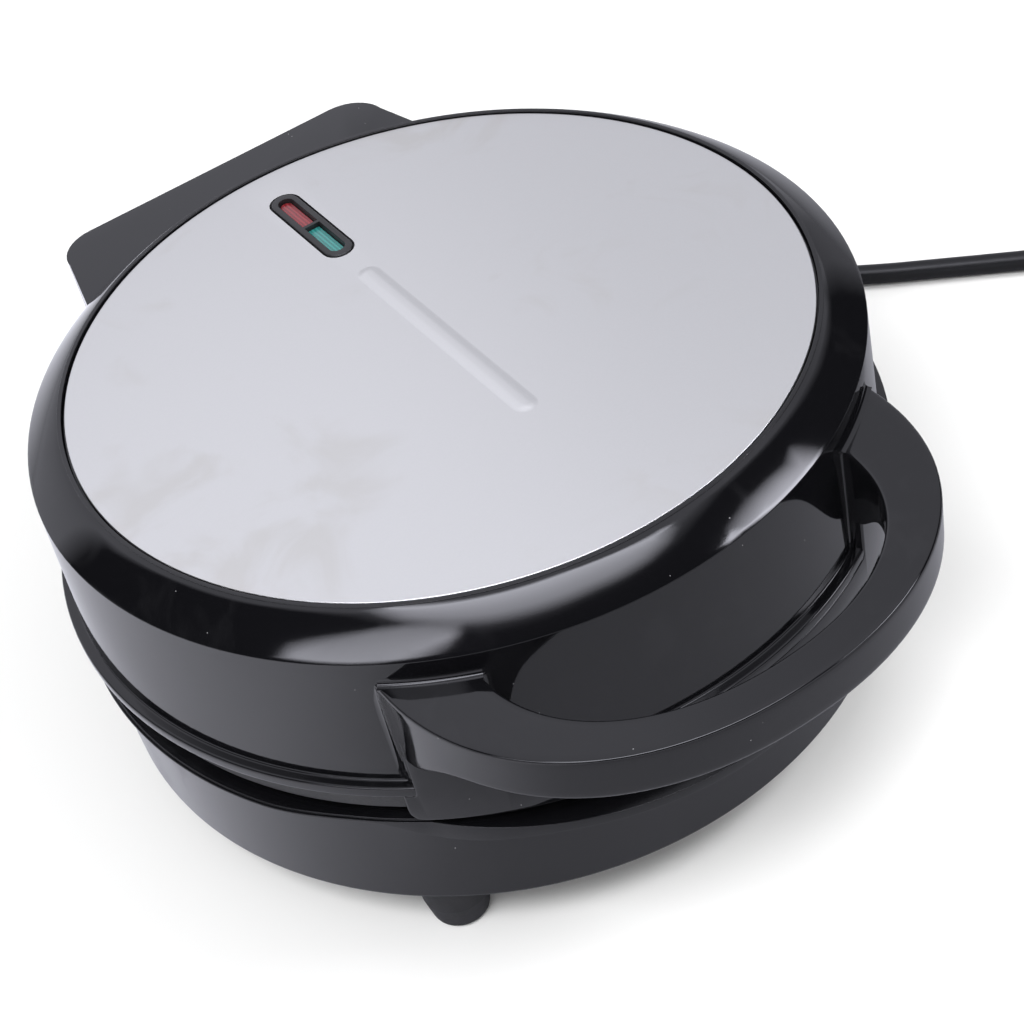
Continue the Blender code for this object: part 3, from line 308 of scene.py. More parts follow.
def makeMaterial(name, look):
    # the effects tint the colour one after the other, vary the roughness and raise the relief (metres)
    material = bpy.data.materials.new(name)
    material.use_nodes = True
    tree = material.node_tree
    shader = tree.nodes["Principled BSDF"]
    setInputs(tree, shader, look["shader"])
    place = addNode(tree, "TexCoord").outputs["Object"]
    effects = {}
    for kind, inputs in look["effects"].items():
        effects[kind] = useEffect(tree, kind, {"Vector": place, **inputs})
    colour = look["colour"]
    for kind, tint in look["tints"].items():
        colour = colourMix(tree, effects[kind], colour, tint)
    tree.links.new(colour, shader.inputs["Base Color"])
    uneven = [(effects[kind], weight) for kind, weight in look["uneven"].items()]
    tree.links.new(scaledSum(tree, look["roughness"], uneven), shader.inputs["Roughness"])
    normal = {}
    for kind, depth in look["relief"].items():
        raised = {"Height": effects[kind], "Distance": depth, "Strength": 1.0, **normal}
        normal = {"Normal": addNode(tree, "Bump", raised).outputs["Normal"]}
    setInputs(tree, shader, normal)
    return material


# Black moulded plastics, from high gloss to a spark-eroded matt
glossBlack = makeMaterial(
    "gloss black plastic",
    {
        "shader": {"IOR": 1.50},
        "effects": {
            "specks": {"Scale": 330, "Size": 0.05, "Share": 0.13},
            "smudges": {"Scale": 22, "Finger Scale": 90, "Cover": 0.35},
            "grain": {"Scale": 2600, "Contrast": 1.6},
            "TexNoise": {"Scale": 34, "Detail": 1.0},
        },
        "colour": (0.0042, 0.0042, 0.0052),
        "tints": {"smudges": (0.0062, 0.0062, 0.0074), "specks": (0.40, 0.40, 0.42)},
        "roughness": 0.055,
        "uneven": {"smudges": 0.04, "specks": 0.35, "grain": 0.02},
        "relief": {"TexNoise": 0.00006, "grain": 0.0000010},
    },
)
bowlBlack = makeMaterial(
    "bowl black plastic",
    {
        "shader": {"IOR": 1.50},
        "effects": {
            "specks": {"Scale": 260, "Size": 0.05, "Share": 0.07},
            "smudges": {"Scale": 22, "Finger Scale": 90, "Cover": 0.35},
            "grain": {"Scale": 3200, "Contrast": 1.6},
            "TexNoise": {"Scale": 30, "Detail": 1.0},
        },
        "colour": (0.0042, 0.0042, 0.0052),
        "tints": {"smudges": (0.0062, 0.0062, 0.0074), "specks": (0.40, 0.40, 0.42)},
        "roughness": 0.16,
        "uneven": {"smudges": 0.06, "specks": 0.35, "grain": 0.04},
        "relief": {"TexNoise": 0.00004, "grain": 0.0000020},
    },
)
skirtBlack = makeMaterial(
    "eroded black plastic",
    {
        "shader": {"IOR": 1.50},
        "effects": {
            "specks": {"Scale": 500, "Size": 0.05, "Share": 0.06},
            "smudges": {"Scale": 22, "Finger Scale": 90, "Cover": 0.5},
            "grain": {"Scale": 1700, "Contrast": 1.6},
            "TexNoise": {"Scale": 60, "Detail": 1.0},
        },
        "colour": (0.020, 0.020, 0.022),
        "tints": {"smudges": (0.026, 0.026, 0.028), "specks": (0.30, 0.30, 0.32)},
        "roughness": 0.42,
        "uneven": {"smudges": 0.05, "specks": 0.35, "grain": 0.14},
        "relief": {"TexNoise": 0.00003, "grain": 0.000035},
    },
)

# Satin sheet: an even fine grain, handling marks and a few pits
satinSteel = makeMaterial(
    "satin steel",
    {
        "shader": {"Metallic": 1.0},
        "effects": {
            "grain": {"Scale": 2300, "Contrast": 1.3},
            "smudges": {"Scale": 13, "Finger Scale": 38, "Cover": 0.48},
            "hairlines": {"Scale": 60, "Width": 0.010},
            "specks": {"Scale": 60, "Size": 0.040, "Share": 0.10},
            "TexNoise": {"Scale": 9, "Detail": 1.0},
        },
        "colour": (0.7092, 0.7092, 0.6895),
        "tints": {
            "grain": (0.7308, 0.7308, 0.7105),
            "smudges": (0.675, 0.668, 0.635),
            "specks": (0.30, 0.30, 0.31),
        },
        "roughness": 0.30,
        "uneven": {"smudges": 0.05, "grain": 0.03, "hairlines": 0.03, "specks": 0.2},
        "relief": {"TexNoise": 0.00025, "grain": 0.0000035, "hairlines": -0.0000015, "specks": -0.00004},
    },
)


def makeMetal(name, colour, roughness, wear, grainScale=1800):
    # plated, turned or rolled metal, with a patchy tone
    look = {
        "shader": {"Metallic": 1.0},
        "effects": {
            "grain": {"Scale": grainScale, "Contrast": 1.5},
            "smudges": {"Scale": 70, "Finger Scale": 260, "Cover": 0.5},
            "hairlines": {"Scale": 120, "Width": 0.02},
        },
        "colour": colour,
        "tints": {"smudges": toned(colour, wear), "grain": toned(colour, 1.08)},
        "roughness": roughness,
        "uneven": {"smudges": 0.10, "hairlines": 0.06, "grain": 0.05},
        "relief": {"grain": 0.000004, "hairlines": -0.000003},
    }
    return makeMaterial(name, look)


zincSteel = makeMetal("zinc plated steel", (0.55, 0.55, 0.56), 0.30, 0.75)
brightSheet = makeMetal("bright rolled sheet", (0.74, 0.74, 0.75), 0.26, 0.85)
heaterSheath = makeMetal("oxidised heater sheath", (0.17, 0.16, 0.16), 0.48, 0.55, 2600)
pinBrass = makeMetal("nickel plated brass", (0.66, 0.62, 0.50), 0.24, 0.85)

# Baked coating over cast metal: a slight orange peel and a fine sparkle
nonStick = makeMaterial(
    "non-stick coating",
    {
        "shader": {"IOR": 1.45},
        "effects": {
            "TexNoise": {"Scale": 420, "Detail": 3.0},
            "specks": {"Scale": 1500, "Size": 0.16, "Share": 0.12},
            "smudges": {"Scale": 30, "Finger Scale": 120, "Cover": 0.45},
        },
        "colour": (0.026, 0.026, 0.028),
        "tints": {"smudges": (0.034, 0.033, 0.033), "specks": (0.11, 0.11, 0.12)},
        "roughness": 0.34,
        "uneven": {"smudges": 0.10, "TexNoise": 0.08},
        "relief": {"TexNoise": 0.00002},
    },
)


def makeLens(name, colour, deepColour):
    # ribbed translucent plastic, moulded in colour
    look = {
        "shader": {"IOR": 1.49, "Coat Weight": 0.6, "Coat Roughness": 0.12},
        "effects": {
            "TexWave": {"Scale": 300, "Distortion": 0.6, "Detail": 1.0},
            "TexNoise": {"Scale": 180, "Detail": 3.0},
        },
        "colour": deepColour,
        "tints": {"TexNoise": colour, "TexWave": toned(colour, 1.35, 0.01)},
        "roughness": 0.22,
        "uneven": {"TexNoise": 0.12},
        "relief": {"TexWave": 0.00008},
    }
    return makeMaterial(name, look)


redLens = makeLens("red lens plastic", (0.17, 0.008, 0.012), (0.07, 0.004, 0.007))
greenLens = makeLens("green lens plastic", (0.016, 0.17, 0.16), (0.008, 0.09, 0.09))


def makeSoftPlastic(name, colour, paleColour, roughness, grainDepth, ior=1.48):
    # rubber, cord sheath and other soft matt plastics
    look = {
        "shader": {"IOR": ior},
        "effects": {
            "grain": {"Scale": 1500, "Contrast": 1.8},
            "smudges": {"Scale": 40, "Finger Scale": 160, "Cover": 0.5},
            "specks": {"Scale": 420, "Size": 0.05, "Share": 0.06},
        },
        "colour": colour,
        "tints": {"smudges": paleColour, "specks": (0.35, 0.35, 0.35)},
        "roughness": roughness,
        "uneven": {"smudges": 0.08, "grain": 0.06},
        "relief": {"grain": grainDepth},
    }
    return makeMaterial(name, look)


# each soft one: its two tones, roughness, grain depth in metres and, for the cord, its index of refraction
softLooks = {
    "bezel black plastic": ((0.012, 0.012, 0.013), (0.018, 0.018, 0.020), 0.30, 0.000006),
    "foot rubber": ((0.010, 0.010, 0.011), (0.016, 0.016, 0.018), 0.48, 0.00002),
    "cord sheath": ((0.005, 0.005, 0.006), (0.009, 0.009, 0.010), 0.36, 0.000010, 1.38),
    "thermostat ceramic": ((0.70, 0.66, 0.58), (0.60, 0.56, 0.48), 0.55, 0.00002),
    "terminal plastic": ((0.74, 0.73, 0.69), (0.66, 0.64, 0.58), 0.45, 0.00001),
}
bezelBlack, footRubber, cordSheath, thermostatCeramic, terminalPlastic = (
    makeSoftPlastic(name, *look) for name, look in softLooks.items()
)

# Woven glass sleeving, and a clear glass bulb with a pale haze inside
glassSleeve = makeMaterial(
    "glass sleeving",
    {
        "shader": {"Sheen Weight": 0.15},
        "effects": {
            "braid": {"Scale": 600, "Distortion": 0.4},
            "smudges": {"Scale": 60, "Finger Scale": 220, "Cover": 0.5},
        },
        "colour": (0.52, 0.50, 0.45),
        "tints": {"braid": (0.76, 0.75, 0.70), "smudges": (0.62, 0.58, 0.48)},
        "roughness": 0.72,
        "uneven": {"braid": 0.12},
        "relief": {"braid": 0.00012},
    },
)
lampGlass = makeMaterial(
    "lamp glass",
    {
        "shader": {"IOR": 1.50, "Transmission Weight": 0.6},
        "effects": {"TexNoise": {"Scale": 300, "Detail": 3.0}},
        "colour": (0.80, 0.76, 0.70),
        "tints": {"TexNoise": (0.95, 0.93, 0.90)},
        "roughness": 0.04,
        "uneven": {"TexNoise": 0.08},
        "relief": {"TexNoise": 0.00001},
    },
)
print("materials made")


# Shared tools for the mesh pieces

# The posts that take the plate screws, four in the lid and four in the base
postSizes = {"circle": 70.0, "outer": 5.5, "bore": 3.8, "hole": 1.9, "edge": 0.05}


def softShare(value, start, end):
    # 0 at start, 1 at end, with a soft rise between
    share = min(1, max(0, (value - start) / (end - start)))
    return share * share * (3 - 2 * share)


# turns a shape spun round Z so that it runs along Y
alongY = Matrix.Rotation(-math.pi / 2, 4, "X")


def bend(start, corner, end, t):
    # a curve from start to end that leaves and meets them along the lines to the corner
    return start * (1 - t) ** 2 + corner * 2 * t * (1 - t) + end * t**2


def softCorners(points, steps=4, closed=False):
    # each point is (x, y) or (x, y, radius), and a radius rounds that corner
    result = []
    count = len(points)
    for i, point in enumerate(points):
        here = Vector(point[:2])
        ended = not closed and i in (0, count - 1)
        if len(point) < 3 or ended:
            result.append(tuple(here))
            continue
        before = Vector(points[i - 1][:2]) - here
        after = Vector(points[(i + 1) % count][:2]) - here
        run = point[2] / math.tan(before.angle(after) / 2)
        run = min(run, before.length * 0.49, after.length * 0.49)
        start = here + before.normalized() * run
        end = here + after.normalized() * run
        result += [tuple(bend(start, here, end, k / steps)) for k in range(steps + 1)]
    return result


def spinRun(bm, run, steps=144, sweep=math.tau, closed=False, matrix=None):
    # turns a run of (radius, height) points about Z, from +X
    before = set(bm.verts)
    verts = [bm.verts.new((radius, 0, height)) for radius, height in run]
    edges = [bm.edges.new(pair) for pair in zip(verts, verts[1:])]
    if closed:
        edges.append(bm.edges.new((verts[-1], verts[0])))
    full = sweep == math.tau
    bmesh.ops.spin(bm, geom=verts + edges, axis=(0, 0, 1), angle=sweep, steps=steps, use_merge=full)
    made = [vert for vert in bm.verts if vert not in before]
    bmesh.ops.remove_doubles(bm, verts=made, dist=0.0005)
    made = [vert for vert in bm.verts if vert not in before]
    if matrix is not None:
        bmesh.ops.transform(bm, matrix=matrix, verts=made)
    return made


def loftRings(bm, rings, capped=True):
    # joins a row of closed rings that have the same number of points
    loops = []
    for ring in rings:
        verts = [bm.verts.new(point) for point in ring]
        loops.append([bm.edges.new((verts[i - 1], verts[i])) for i in range(len(verts))])
    for first, second in zip(loops, loops[1:]):
        bmesh.ops.bridge_loops(bm, edges=first + second)
    if capped:
        for loop in (loops[0], loops[-1]):
            bmesh.ops.edgeloop_fill(bm, edges=loop)


def raiseOutline(bm, outline, low, high):
    # stands a flat outline up, and returns its lower and upper edges
    verts = [bm.verts.new((x, y, low)) for x, y in outline]
    face = bm.faces.new(verts)
    grown = bmesh.ops.extrude_face_region(bm, geom=[face], use_keep_orig=True)["geom"]
    top = [item for item in grown if isinstance(item, bmesh.types.BMVert)]
    bmesh.ops.translate(bm, vec=(0, 0, high - low), verts=top)
    upper = [item for item in grown if isinstance(item, bmesh.types.BMEdge)]
    return list(face.edges), upper


def bevelEdges(bm, edges, offset, segments=3, clamp=True):
    return bmesh.ops.bevel(
        bm,
        geom=edges,
        offset=offset,
        affect="EDGES",
        segments=segments,
        profile=0.5,
        material=-1,
        clamp_overlap=clamp,
    )


def pillOutline(halfWidth, front, back, inset=0.0, steps=10):
    # an oblong along Y with round ends
    radius = halfWidth - inset
    points = []
    for centreY, begin in ((back - halfWidth, 0), (front + halfWidth, math.pi)):
        for i in range(steps + 1):
            angle = begin + math.pi * i / steps
            points.append((radius * math.cos(angle), centreY + radius * math.sin(angle)))
    return points


def addBlock(bm, low, high, bevel=0.0, segments=2):
    middle = [(a + b) / 2 for a, b in zip(low, high)]
    size = [b - a for a, b in zip(low, high)]
    matrix = Matrix.Translation(middle) @ Matrix.Diagonal((*size, 1))
    made = bmesh.ops.create_cube(bm, size=1, matrix=matrix)["verts"]
    if bevel:
        bevelEdges(bm, list({edge for vert in made for edge in vert.link_edges}), bevel, segments)


def fourPosts():
    along = postSizes["circle"] * math.sqrt(0.5)
    return [(i * along, j * along) for i in (-1, 1) for j in (-1, 1)]


def makePosts(root, end, seat):
    # hollow posts from the wall at root to their open end, with the screw's seat inside
    s = postSizes
    bm = bmesh.new()
    start = root + s["edge"]
    tube = [(s["bore"], start), (s["outer"], start), (s["outer"], end)]
    tube += [(s["hole"], end), (s["hole"], seat), (s["bore"], seat)]
    for x, y in fourPosts():
        spinRun(bm, tube, 32, closed=True, matrix=Matrix.Translation((x, y, 0)))
    return helperObject(bm)


def boolMesh(piece, other, operation):
    # joins or cuts a mesh, and takes the helper away
    modifier = piece.modifiers.new("cut", "BOOLEAN")
    modifier.operation = operation
    modifier.solver = "EXACT"
    modifier.object = other
    graph = bpy.context.evaluated_depsgraph_get()
    made = bpy.data.meshes.new_from_object(piece.evaluated_get(graph))
    piece.modifiers.clear()
    old = piece.data
    piece.data = made
    bpy.data.meshes.remove(old)
    bpy.data.objects.remove(other)


def helperObject(bm):
    bmesh.ops.recalc_face_normals(bm, faces=bm.faces)
    mesh = bpy.data.meshes.new("helper")
    bm.to_mesh(mesh)
    bm.free()
    helper = bpy.data.objects.new("helper", mesh)
    bpy.context.scene.collection.objects.link(helper)
    return helper


def addCopy(bm, source):
    # adds the shape of another bmesh, and frees that one
    mesh = bpy.data.meshes.new("copy")
    source.to_mesh(mesh)
    source.free()
    bm.from_mesh(mesh)
    bpy.data.meshes.remove(mesh)


def finishPiece(name, bm, material, body, slotName, replaced=(), cutters=(), sharp=30, place=toFrame):
    bmesh.ops.remove_doubles(bm, verts=bm.verts, dist=0.0005)
    piece = helperObject(bm)
    piece.name = name
    for operation, cutter in cutters:
        boolMesh(piece, cutter, operation)
    mesh = piece.data
    mesh.name = name
    mesh.transform(place)
    mesh.shade_smooth()
    mesh.set_sharp_from_angle(angle=math.radians(sharp))
    mesh.materials.clear()
    for one in material if isinstance(material, (list, tuple)) else [material]:
        mesh.materials.append(one)
    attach(piece, body)
    if replaced:
        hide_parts(*replaced)
    return piece


# Lid moulding: the shell, its bead and skirt

lidSizes = {
    "inner": 98.4,
    "skirt": 101.0,
    "bead": 104.8,
    "wallLow": 102.1,
    "wallHigh": 101.1,
    "lip": 91.6,
    "lipInner": 90.6,
    "lipStep": 0.25,
    "edge": 48.5,
    "beadLow": 56.5,
    "beadHigh": 59.5,
    "crease": 95.1,
    "lipTop": 102.4,
    "bow": (95.28, 100.28),
    "deckTop": 100.9,
    "deckLow": 98.4,
    "postLow": 67.2,
    "postSeat": 71.2,
    "steps": 168,
}


def wallRadius(height):
    share = (height - lidSizes["beadHigh"]) / (lidSizes["crease"] - lidSizes["beadHigh"])
    return lidSizes["wallLow"] + (lidSizes["wallHigh"] - lidSizes["wallLow"]) * share


def makeLid():
    s = lidSizes
    shoulder = []
    bowRadius, bowHeight = s["bow"]
    stepTop = s["lipTop"] - s["lipStep"]
    for i in range(1, 14):
        radius = bend(s["wallHigh"], bowRadius, s["lip"] + 0.1, i / 14)
        shoulder.append((radius, bend(s["crease"], bowHeight, stepTop, i / 14)))
    run = [(0, s["deckLow"]), (s["lip"] + 0.8, s["deckLow"], 1.0), (s["inner"], s["crease"] - 1.5, 1.0)]
    run += [(s["inner"], s["edge"], 0.3), (s["skirt"], s["edge"], 0.5), (s["skirt"], s["beadLow"], 0.5)]
    run += [(s["bead"], s["beadLow"], 0.8), (s["bead"], s["beadHigh"], 0.8)]
    run += [(s["wallLow"], s["beadHigh"], 0.7)]
    run += [(s["wallHigh"], s["crease"], 0.3)] + shoulder
    run += [(s["lip"], stepTop + 0.02), (s["lip"], s["lipTop"], 0.1), (s["lipInner"], s["lipTop"], 0.1)]
    run += [(s["lipInner"] - 0.15, s["deckTop"], 0.2), (0, s["deckTop"])]
    bm = bmesh.new()
    spinRun(bm, softCorners(run, 4), s["steps"])
    cuts = [("UNION", makePosts(s["deckLow"], s["postLow"], s["postSeat"]))]
    blacks = [glossBlack, skirtBlack]
    lid = finishPiece("lid_shell", bm, blacks, "lid", "black_gloss", ["lid_housing"], cuts)
    for face in lid.data.polygons:
        middle = face.center
        radius = 1000 * math.hypot(middle.x, middle.y - axisY)
        if 1000 * middle.z < s["beadLow"] - 0.4 and radius < s["skirt"] + 0.3:
            face.material_index = 1


makeLid()
print("lid shell made")


# Handle, with its roots, the apron under them and the small concave joins

handleSizes = {
    "outerHalf": 66.2,
    "outerStart": 80.0,
    "outerReach": 137.0,
    "innerHalf": 48.0,
    "innerStart": 91.4,
    "innerReach": 128.2,
    "power": 2.15,
    "top": 89.5,
    "thickness": 11.5,
    "rootThickness": 21.0,
    "joinDepth": 30.0,
    "dipStart": 45.0,
    "dipPower": 16,
    "outerJoin": 0.45,
    "topEdge": 1.0,
    "underEdge": 1.3,
    "filletFade": 7.0,
    "topJoin": 1.6,
    "stations": 72,
    "rootStations": 6,
}


def barPoint(half, start, reach, angle):
    power = 2 / handleSizes["power"]
    x = math.copysign(abs(math.cos(angle)) ** power, math.cos(angle)) * half
    return Vector((x, -start - (reach - start) * abs(math.sin(angle)) ** power))


def rootPoint(half, start, height, t, fade, outward):
    # from the side of the bar, round the concave join, to the wall of the lid
    radius = wallRadius(height)
    azimuth = math.asin(half / radius)
    corner = Vector((half, -radius * math.cos(azimuth)))
    run = start + corner.y
    azimuth += outward * run * fade / radius
    begin = Vector((half, -start))
    end = Vector((radius * math.sin(azimuth), -radius * math.cos(azimuth)))
    return bend(begin, corner, end, t)


def handleRing(outerAt, innerAt, low, high):
    s = handleSizes
    width = (innerAt(high) - outerAt(high)).length
    corners = [(0, low, s["underEdge"]), (0, high, s["topEdge"])]
    corners += [(width, high, s["topEdge"]), (width, low, s["underEdge"])]
    rounded = softCorners(corners, 4, True)
    ring = []
    for i, (along, height) in enumerate(rounded):
        ring.append((along, height))
        if i % 5 == 4:
            far = rounded[(i + 1) % len(rounded)]
            for k in range(1, 7):
                ring.append((along + (far[0] - along) * k / 7, height + (far[1] - height) * k / 7))
    points = []
    for along, height in ring:
        plan = outerAt(height).lerp(innerAt(height), along / width)
        points.append((plan.x, plan.y, height))
    return points


def handleRings():
    s = handleSizes
    high = s["top"]

    def low(x):
        share = max(0, (abs(x) - s["dipStart"]) / (s["outerHalf"] - s["dipStart"]))
        dip = (s["rootThickness"] - s["thickness"]) * min(1, share) ** s["dipPower"]
        return high - s["thickness"] - dip

    def rootRing(t, inside, side):
        def outer(height):
            fade = softShare(high - height, 0, s["filletFade"])
            point = rootPoint(s["outerHalf"], s["outerStart"], height, t, fade * s["outerJoin"], 1) * inside
            return Vector((point.x * side, point.y))

        def inner(height):
            point = rootPoint(s["innerHalf"], s["innerStart"], height, t, 1, -1) * inside
            return Vector((point.x * side, point.y))

        return handleRing(outer, inner, high - s["joinDepth"], high)

    rings = [rootRing(1, 0.985, 1)]
    rings += [rootRing(1 - i / s["rootStations"], 1, 1) for i in range(s["rootStations"])]
    for i in range(s["stations"] + 1):
        angle = math.pi * i / s["stations"]
        outerPoint = barPoint(s["outerHalf"], s["outerStart"], s["outerReach"], angle)
        innerPoint = barPoint(s["innerHalf"], s["innerStart"], s["innerReach"], angle)
        rings.append(handleRing(lambda _: outerPoint, lambda _: innerPoint, low(outerPoint.x), high))
    rings += [rootRing((i + 1) / s["rootStations"], 1, -1) for i in range(s["rootStations"])]
    return rings + [rootRing(1, 0.985, -1)]


def addJoinStrip(bm, height, reach, fromAzimuth, toAzimuth, steps):
    # a concave strip where a level face meets the wall. Azimuths are from the front, in degrees
    radius = wallRadius(height)
    run = [(radius - 1.2, height - 0.25), (radius + reach, height - 0.25)]
    top = height + reach
    for i in range(7):
        along = bend(radius + reach, radius, wallRadius(top), i / 6)
        run.append((along, bend(height, height, top, i / 6)))
    run.append((radius - 1.2, top))
    turn = Matrix.Rotation(math.radians(fromAzimuth - 90), 4, "Z")
    sweep = math.radians(toAzimuth - fromAzimuth)
    made = spinRun(bm, run, steps, sweep, True, turn)
    open_ = [edge for edge in bm.edges if edge.is_boundary and edge.verts[0] in made]
    bmesh.ops.holes_fill(bm, edges=open_)


apronSizes = {
    "radius": 105.0,
    "sink": 100.0,
    "edge": 48.6,
    "top": 57.2,
    "rootTop": 75.0,
    "halfAngle": 40.9,
    "sideAngle": 39.3,
    "rootAngle": 28.3,
    "corner": 8.0,
    "topCorner": 0.8,
    "edgeRound": 0.7,
    "slices": 60,
}


def addApron(bm):
    # drawn flat, as arc length and height, then bent round the lid
    s = apronSizes
    far = math.radians(s["halfAngle"]) * s["radius"]
    root = math.radians(s["rootAngle"]) * s["radius"]
    side = math.radians(s["sideAngle"]) * s["radius"]
    top = s["top"]
    small = s["topCorner"]
    half = [(far, s["edge"], s["corner"]), (far, top, small), (side, top, small)]
    half += [(side, s["rootTop"]), (root, s["rootTop"]), (root, top, 1.0)]
    mirrored = [(-x, *rest) for x, *rest in reversed(half)]
    corners = mirrored[-1:] + half + mirrored[:-1]
    flat = bmesh.new()
    _, upper = raiseOutline(flat, softCorners(corners, 6, True), 0, s["radius"] - s["sink"])
    bevelEdges(flat, upper, s["edgeRound"], 3)
    for i in range(1, s["slices"]):
        where = -far + 2 * far * i / s["slices"]
        every = list(flat.verts) + list(flat.edges) + list(flat.faces)
        bmesh.ops.bisect_plane(flat, geom=every, plane_co=(where, 0, 0), plane_no=(1, 0, 0))
    for vert in flat.verts:
        azimuth = vert.co.x / s["radius"]
        radius = s["sink"] + vert.co.z
        vert.co = (radius * math.sin(azimuth), -radius * math.cos(azimuth), vert.co.y)
    addCopy(bm, flat)


def makeHandle():
    bm = bmesh.new()
    loftRings(bm, handleRings())
    addApron(bm)
    for fromAzimuth, toAzimuth in ((27.8, 40.3), (-40.3, -27.8)):
        addJoinStrip(bm, handleSizes["top"], handleSizes["topJoin"], fromAzimuth, toAzimuth, 14)
    finishPiece("lid_handle", bm, glossBlack, "lid", "black_gloss", sharp=35)


makeHandle()
print("handle made")


# Hinge shelf at the back of the lid, with the lid's knuckles

shelfSizes = {
    "rootHalf": 55.8,
    "backHalf": 50.0,
    "reach": 124.0,
    "corner": 11.0,
    "low": 48.5,
    "high": 89.5,
    "wall": 2.5,
    "topEdge": 1.3,
    "underEdge": 0.4,
    "bevelFrom": 102.4,
    "rootRadius": 101.8,
    "frontRadius": 100.2,
    "insideRoot": 100.9,
    "insideFront": 98.0,
    "rootJoin": 3.0,
    "joinReach": 1.4,
    "joinAngle": 32.8,
    "notchHalf": 43.0,
    "notchFront": 118.0,
    "notchHigh": 59.0,
}
hingeSizes = {
    "y": 118.0,
    "z": 52.0,
    "radius": 6.0,
    "pin": 2.0,
    "webShare": 0.6,
    "webSink": 1.2,
    "play": 0.3,
    "baseFrom": 14.0,
    "baseTo": 29.5,
    "lidFrom": 30.0,
    "lidTo": 42.0,
}


def backOutline(rootHalf, rootRadius, backHalf, reach, corner, join, inset=0.0, frontRadius=0.0):
    # the plan of a box that grows from a round wall towards +Y
    x = rootHalf - inset
    azimuth = math.asin(x / rootRadius)
    root = Vector((x, rootRadius * math.cos(azimuth)))
    cornerStart = Vector((backHalf - inset, reach - corner))
    side = []
    if join:
        azimuth += join / rootRadius
        far = Vector((rootRadius * math.sin(azimuth), rootRadius * math.cos(azimuth)))
        near = root + (cornerStart - root).normalized() * join
        side = [tuple(far * 0.985)]
        side += [tuple(bend(far, root, near, i / 6)) for i in range(7)]
    else:
        side = [tuple(root)]
    for i in range(11):
        angle = math.pi / 2 * i / 10
        centre = Vector((backHalf - corner, reach - corner))
        around = Vector((math.cos(angle), math.sin(angle))) * (corner - inset)
        side.append(tuple(centre + around))
    points = side + [(-x, y) for x, y in reversed(side)]
    if frontRadius:
        first = math.asin(min(0.99, side[0][0] / frontRadius))
        for i in range(1, 24):
            azimuth = -first + 2 * first * i / 24
            points.append((frontRadius * math.sin(azimuth), frontRadius * math.cos(azimuth)))
    return points


def addKnuckles(bm, fromX, toX, edge=0.6):
    s = hingeSizes
    for side in (-1, 1):
        run = [(0, 0), (s["radius"], 0, edge), (s["radius"], toX - fromX, edge), (0, toX - fromX)]
        turn = Matrix.Rotation(side * math.pi / 2, 4, "Y")
        place = Matrix.Translation((side * fromX, s["y"], s["z"])) @ turn
        spinRun(bm, softCorners(run, 3), 36, matrix=place)


def hingeWebs(fromX, toX, low, top):
    # blocks that tie the knuckles to their housing
    bm = bmesh.new()
    s = hingeSizes
    for side in (-1, 1):
        ends = sorted((side * fromX, side * toX))
        addBlock(bm, (ends[0], s["y"] - s["radius"], low), (ends[1], *top), 0.4)
    return helperObject(bm)


def pinBores():
    bm = bmesh.new()
    s = hingeSizes
    radius = s["pin"] + s["play"]
    long = s["lidTo"] - s["baseFrom"] + 4
    for side in (-1, 1):
        turn = Matrix.Rotation(side * math.pi / 2, 4, "Y")
        place = Matrix.Translation((side * (s["baseFrom"] - 2), s["y"], s["z"])) @ turn
        spinRun(bm, [(0, 0), (radius, 0), (radius, long), (0, long)], 24, matrix=place)
    return helperObject(bm)


def edgesBeyond(edges, radius):
    return [edge for edge in edges if all(vert.co.xy.length > radius for vert in edge.verts)]


def makeShelf():
    s = shelfSizes
    bm = bmesh.new()
    plan = (s["backHalf"], s["reach"], s["corner"])
    outline = backOutline(s["rootHalf"], s["rootRadius"], *plan, s["rootJoin"], 0.0, s["frontRadius"])
    _, upper = raiseOutline(bm, outline, s["low"], s["high"])
    bevelEdges(bm, edgesBeyond(upper, s["bevelFrom"]), s["topEdge"], 4)
    under = [edge for edge in bm.edges if all(vert.co.z < s["low"] + 0.01 for vert in edge.verts)]
    bevelEdges(bm, edgesBeyond(under, s["bevelFrom"]), s["underEdge"], 2)

    cavity = bmesh.new()
    inside = backOutline(s["rootHalf"], s["insideRoot"], *plan, 0, s["wall"], s["insideFront"])
    raiseOutline(cavity, inside, s["low"] - 1, s["high"] - s["wall"])
    notch = bmesh.new()
    near = (-s["notchHalf"], s["notchFront"], s["low"] - 3)
    addBlock(notch, near, (s["notchHalf"], s["reach"] + 3, s["notchHigh"]), 1.2, 3)
    h = hingeSizes
    top = (s["reach"] - s["wall"] / 2, s["high"] - s["wall"] / 2)
    webs = hingeWebs(h["lidFrom"], h["lidTo"], h["z"], top)
    knuckles = bmesh.new()
    addKnuckles(knuckles, h["lidFrom"], h["lidTo"])
    cuts = [("DIFFERENCE", helperObject(cavity)), ("DIFFERENCE", helperObject(notch))]
    cuts += [("UNION", webs), ("UNION", helperObject(knuckles)), ("DIFFERENCE", pinBores())]
    finishPiece("hinge_shelf", bm, glossBlack, "lid", "black_gloss", cutters=cuts)
    bm = bmesh.new()
    addJoinStrip(bm, s["high"], s["joinReach"], 180 - s["joinAngle"], 180 + s["joinAngle"], 48)
    finishPiece("shelf_join", bm, glossBlack, "lid", "black_gloss", sharp=40)


makeShelf()
print("hinge shelf made")


# Base bowl with its rim, front ledge and hinge block

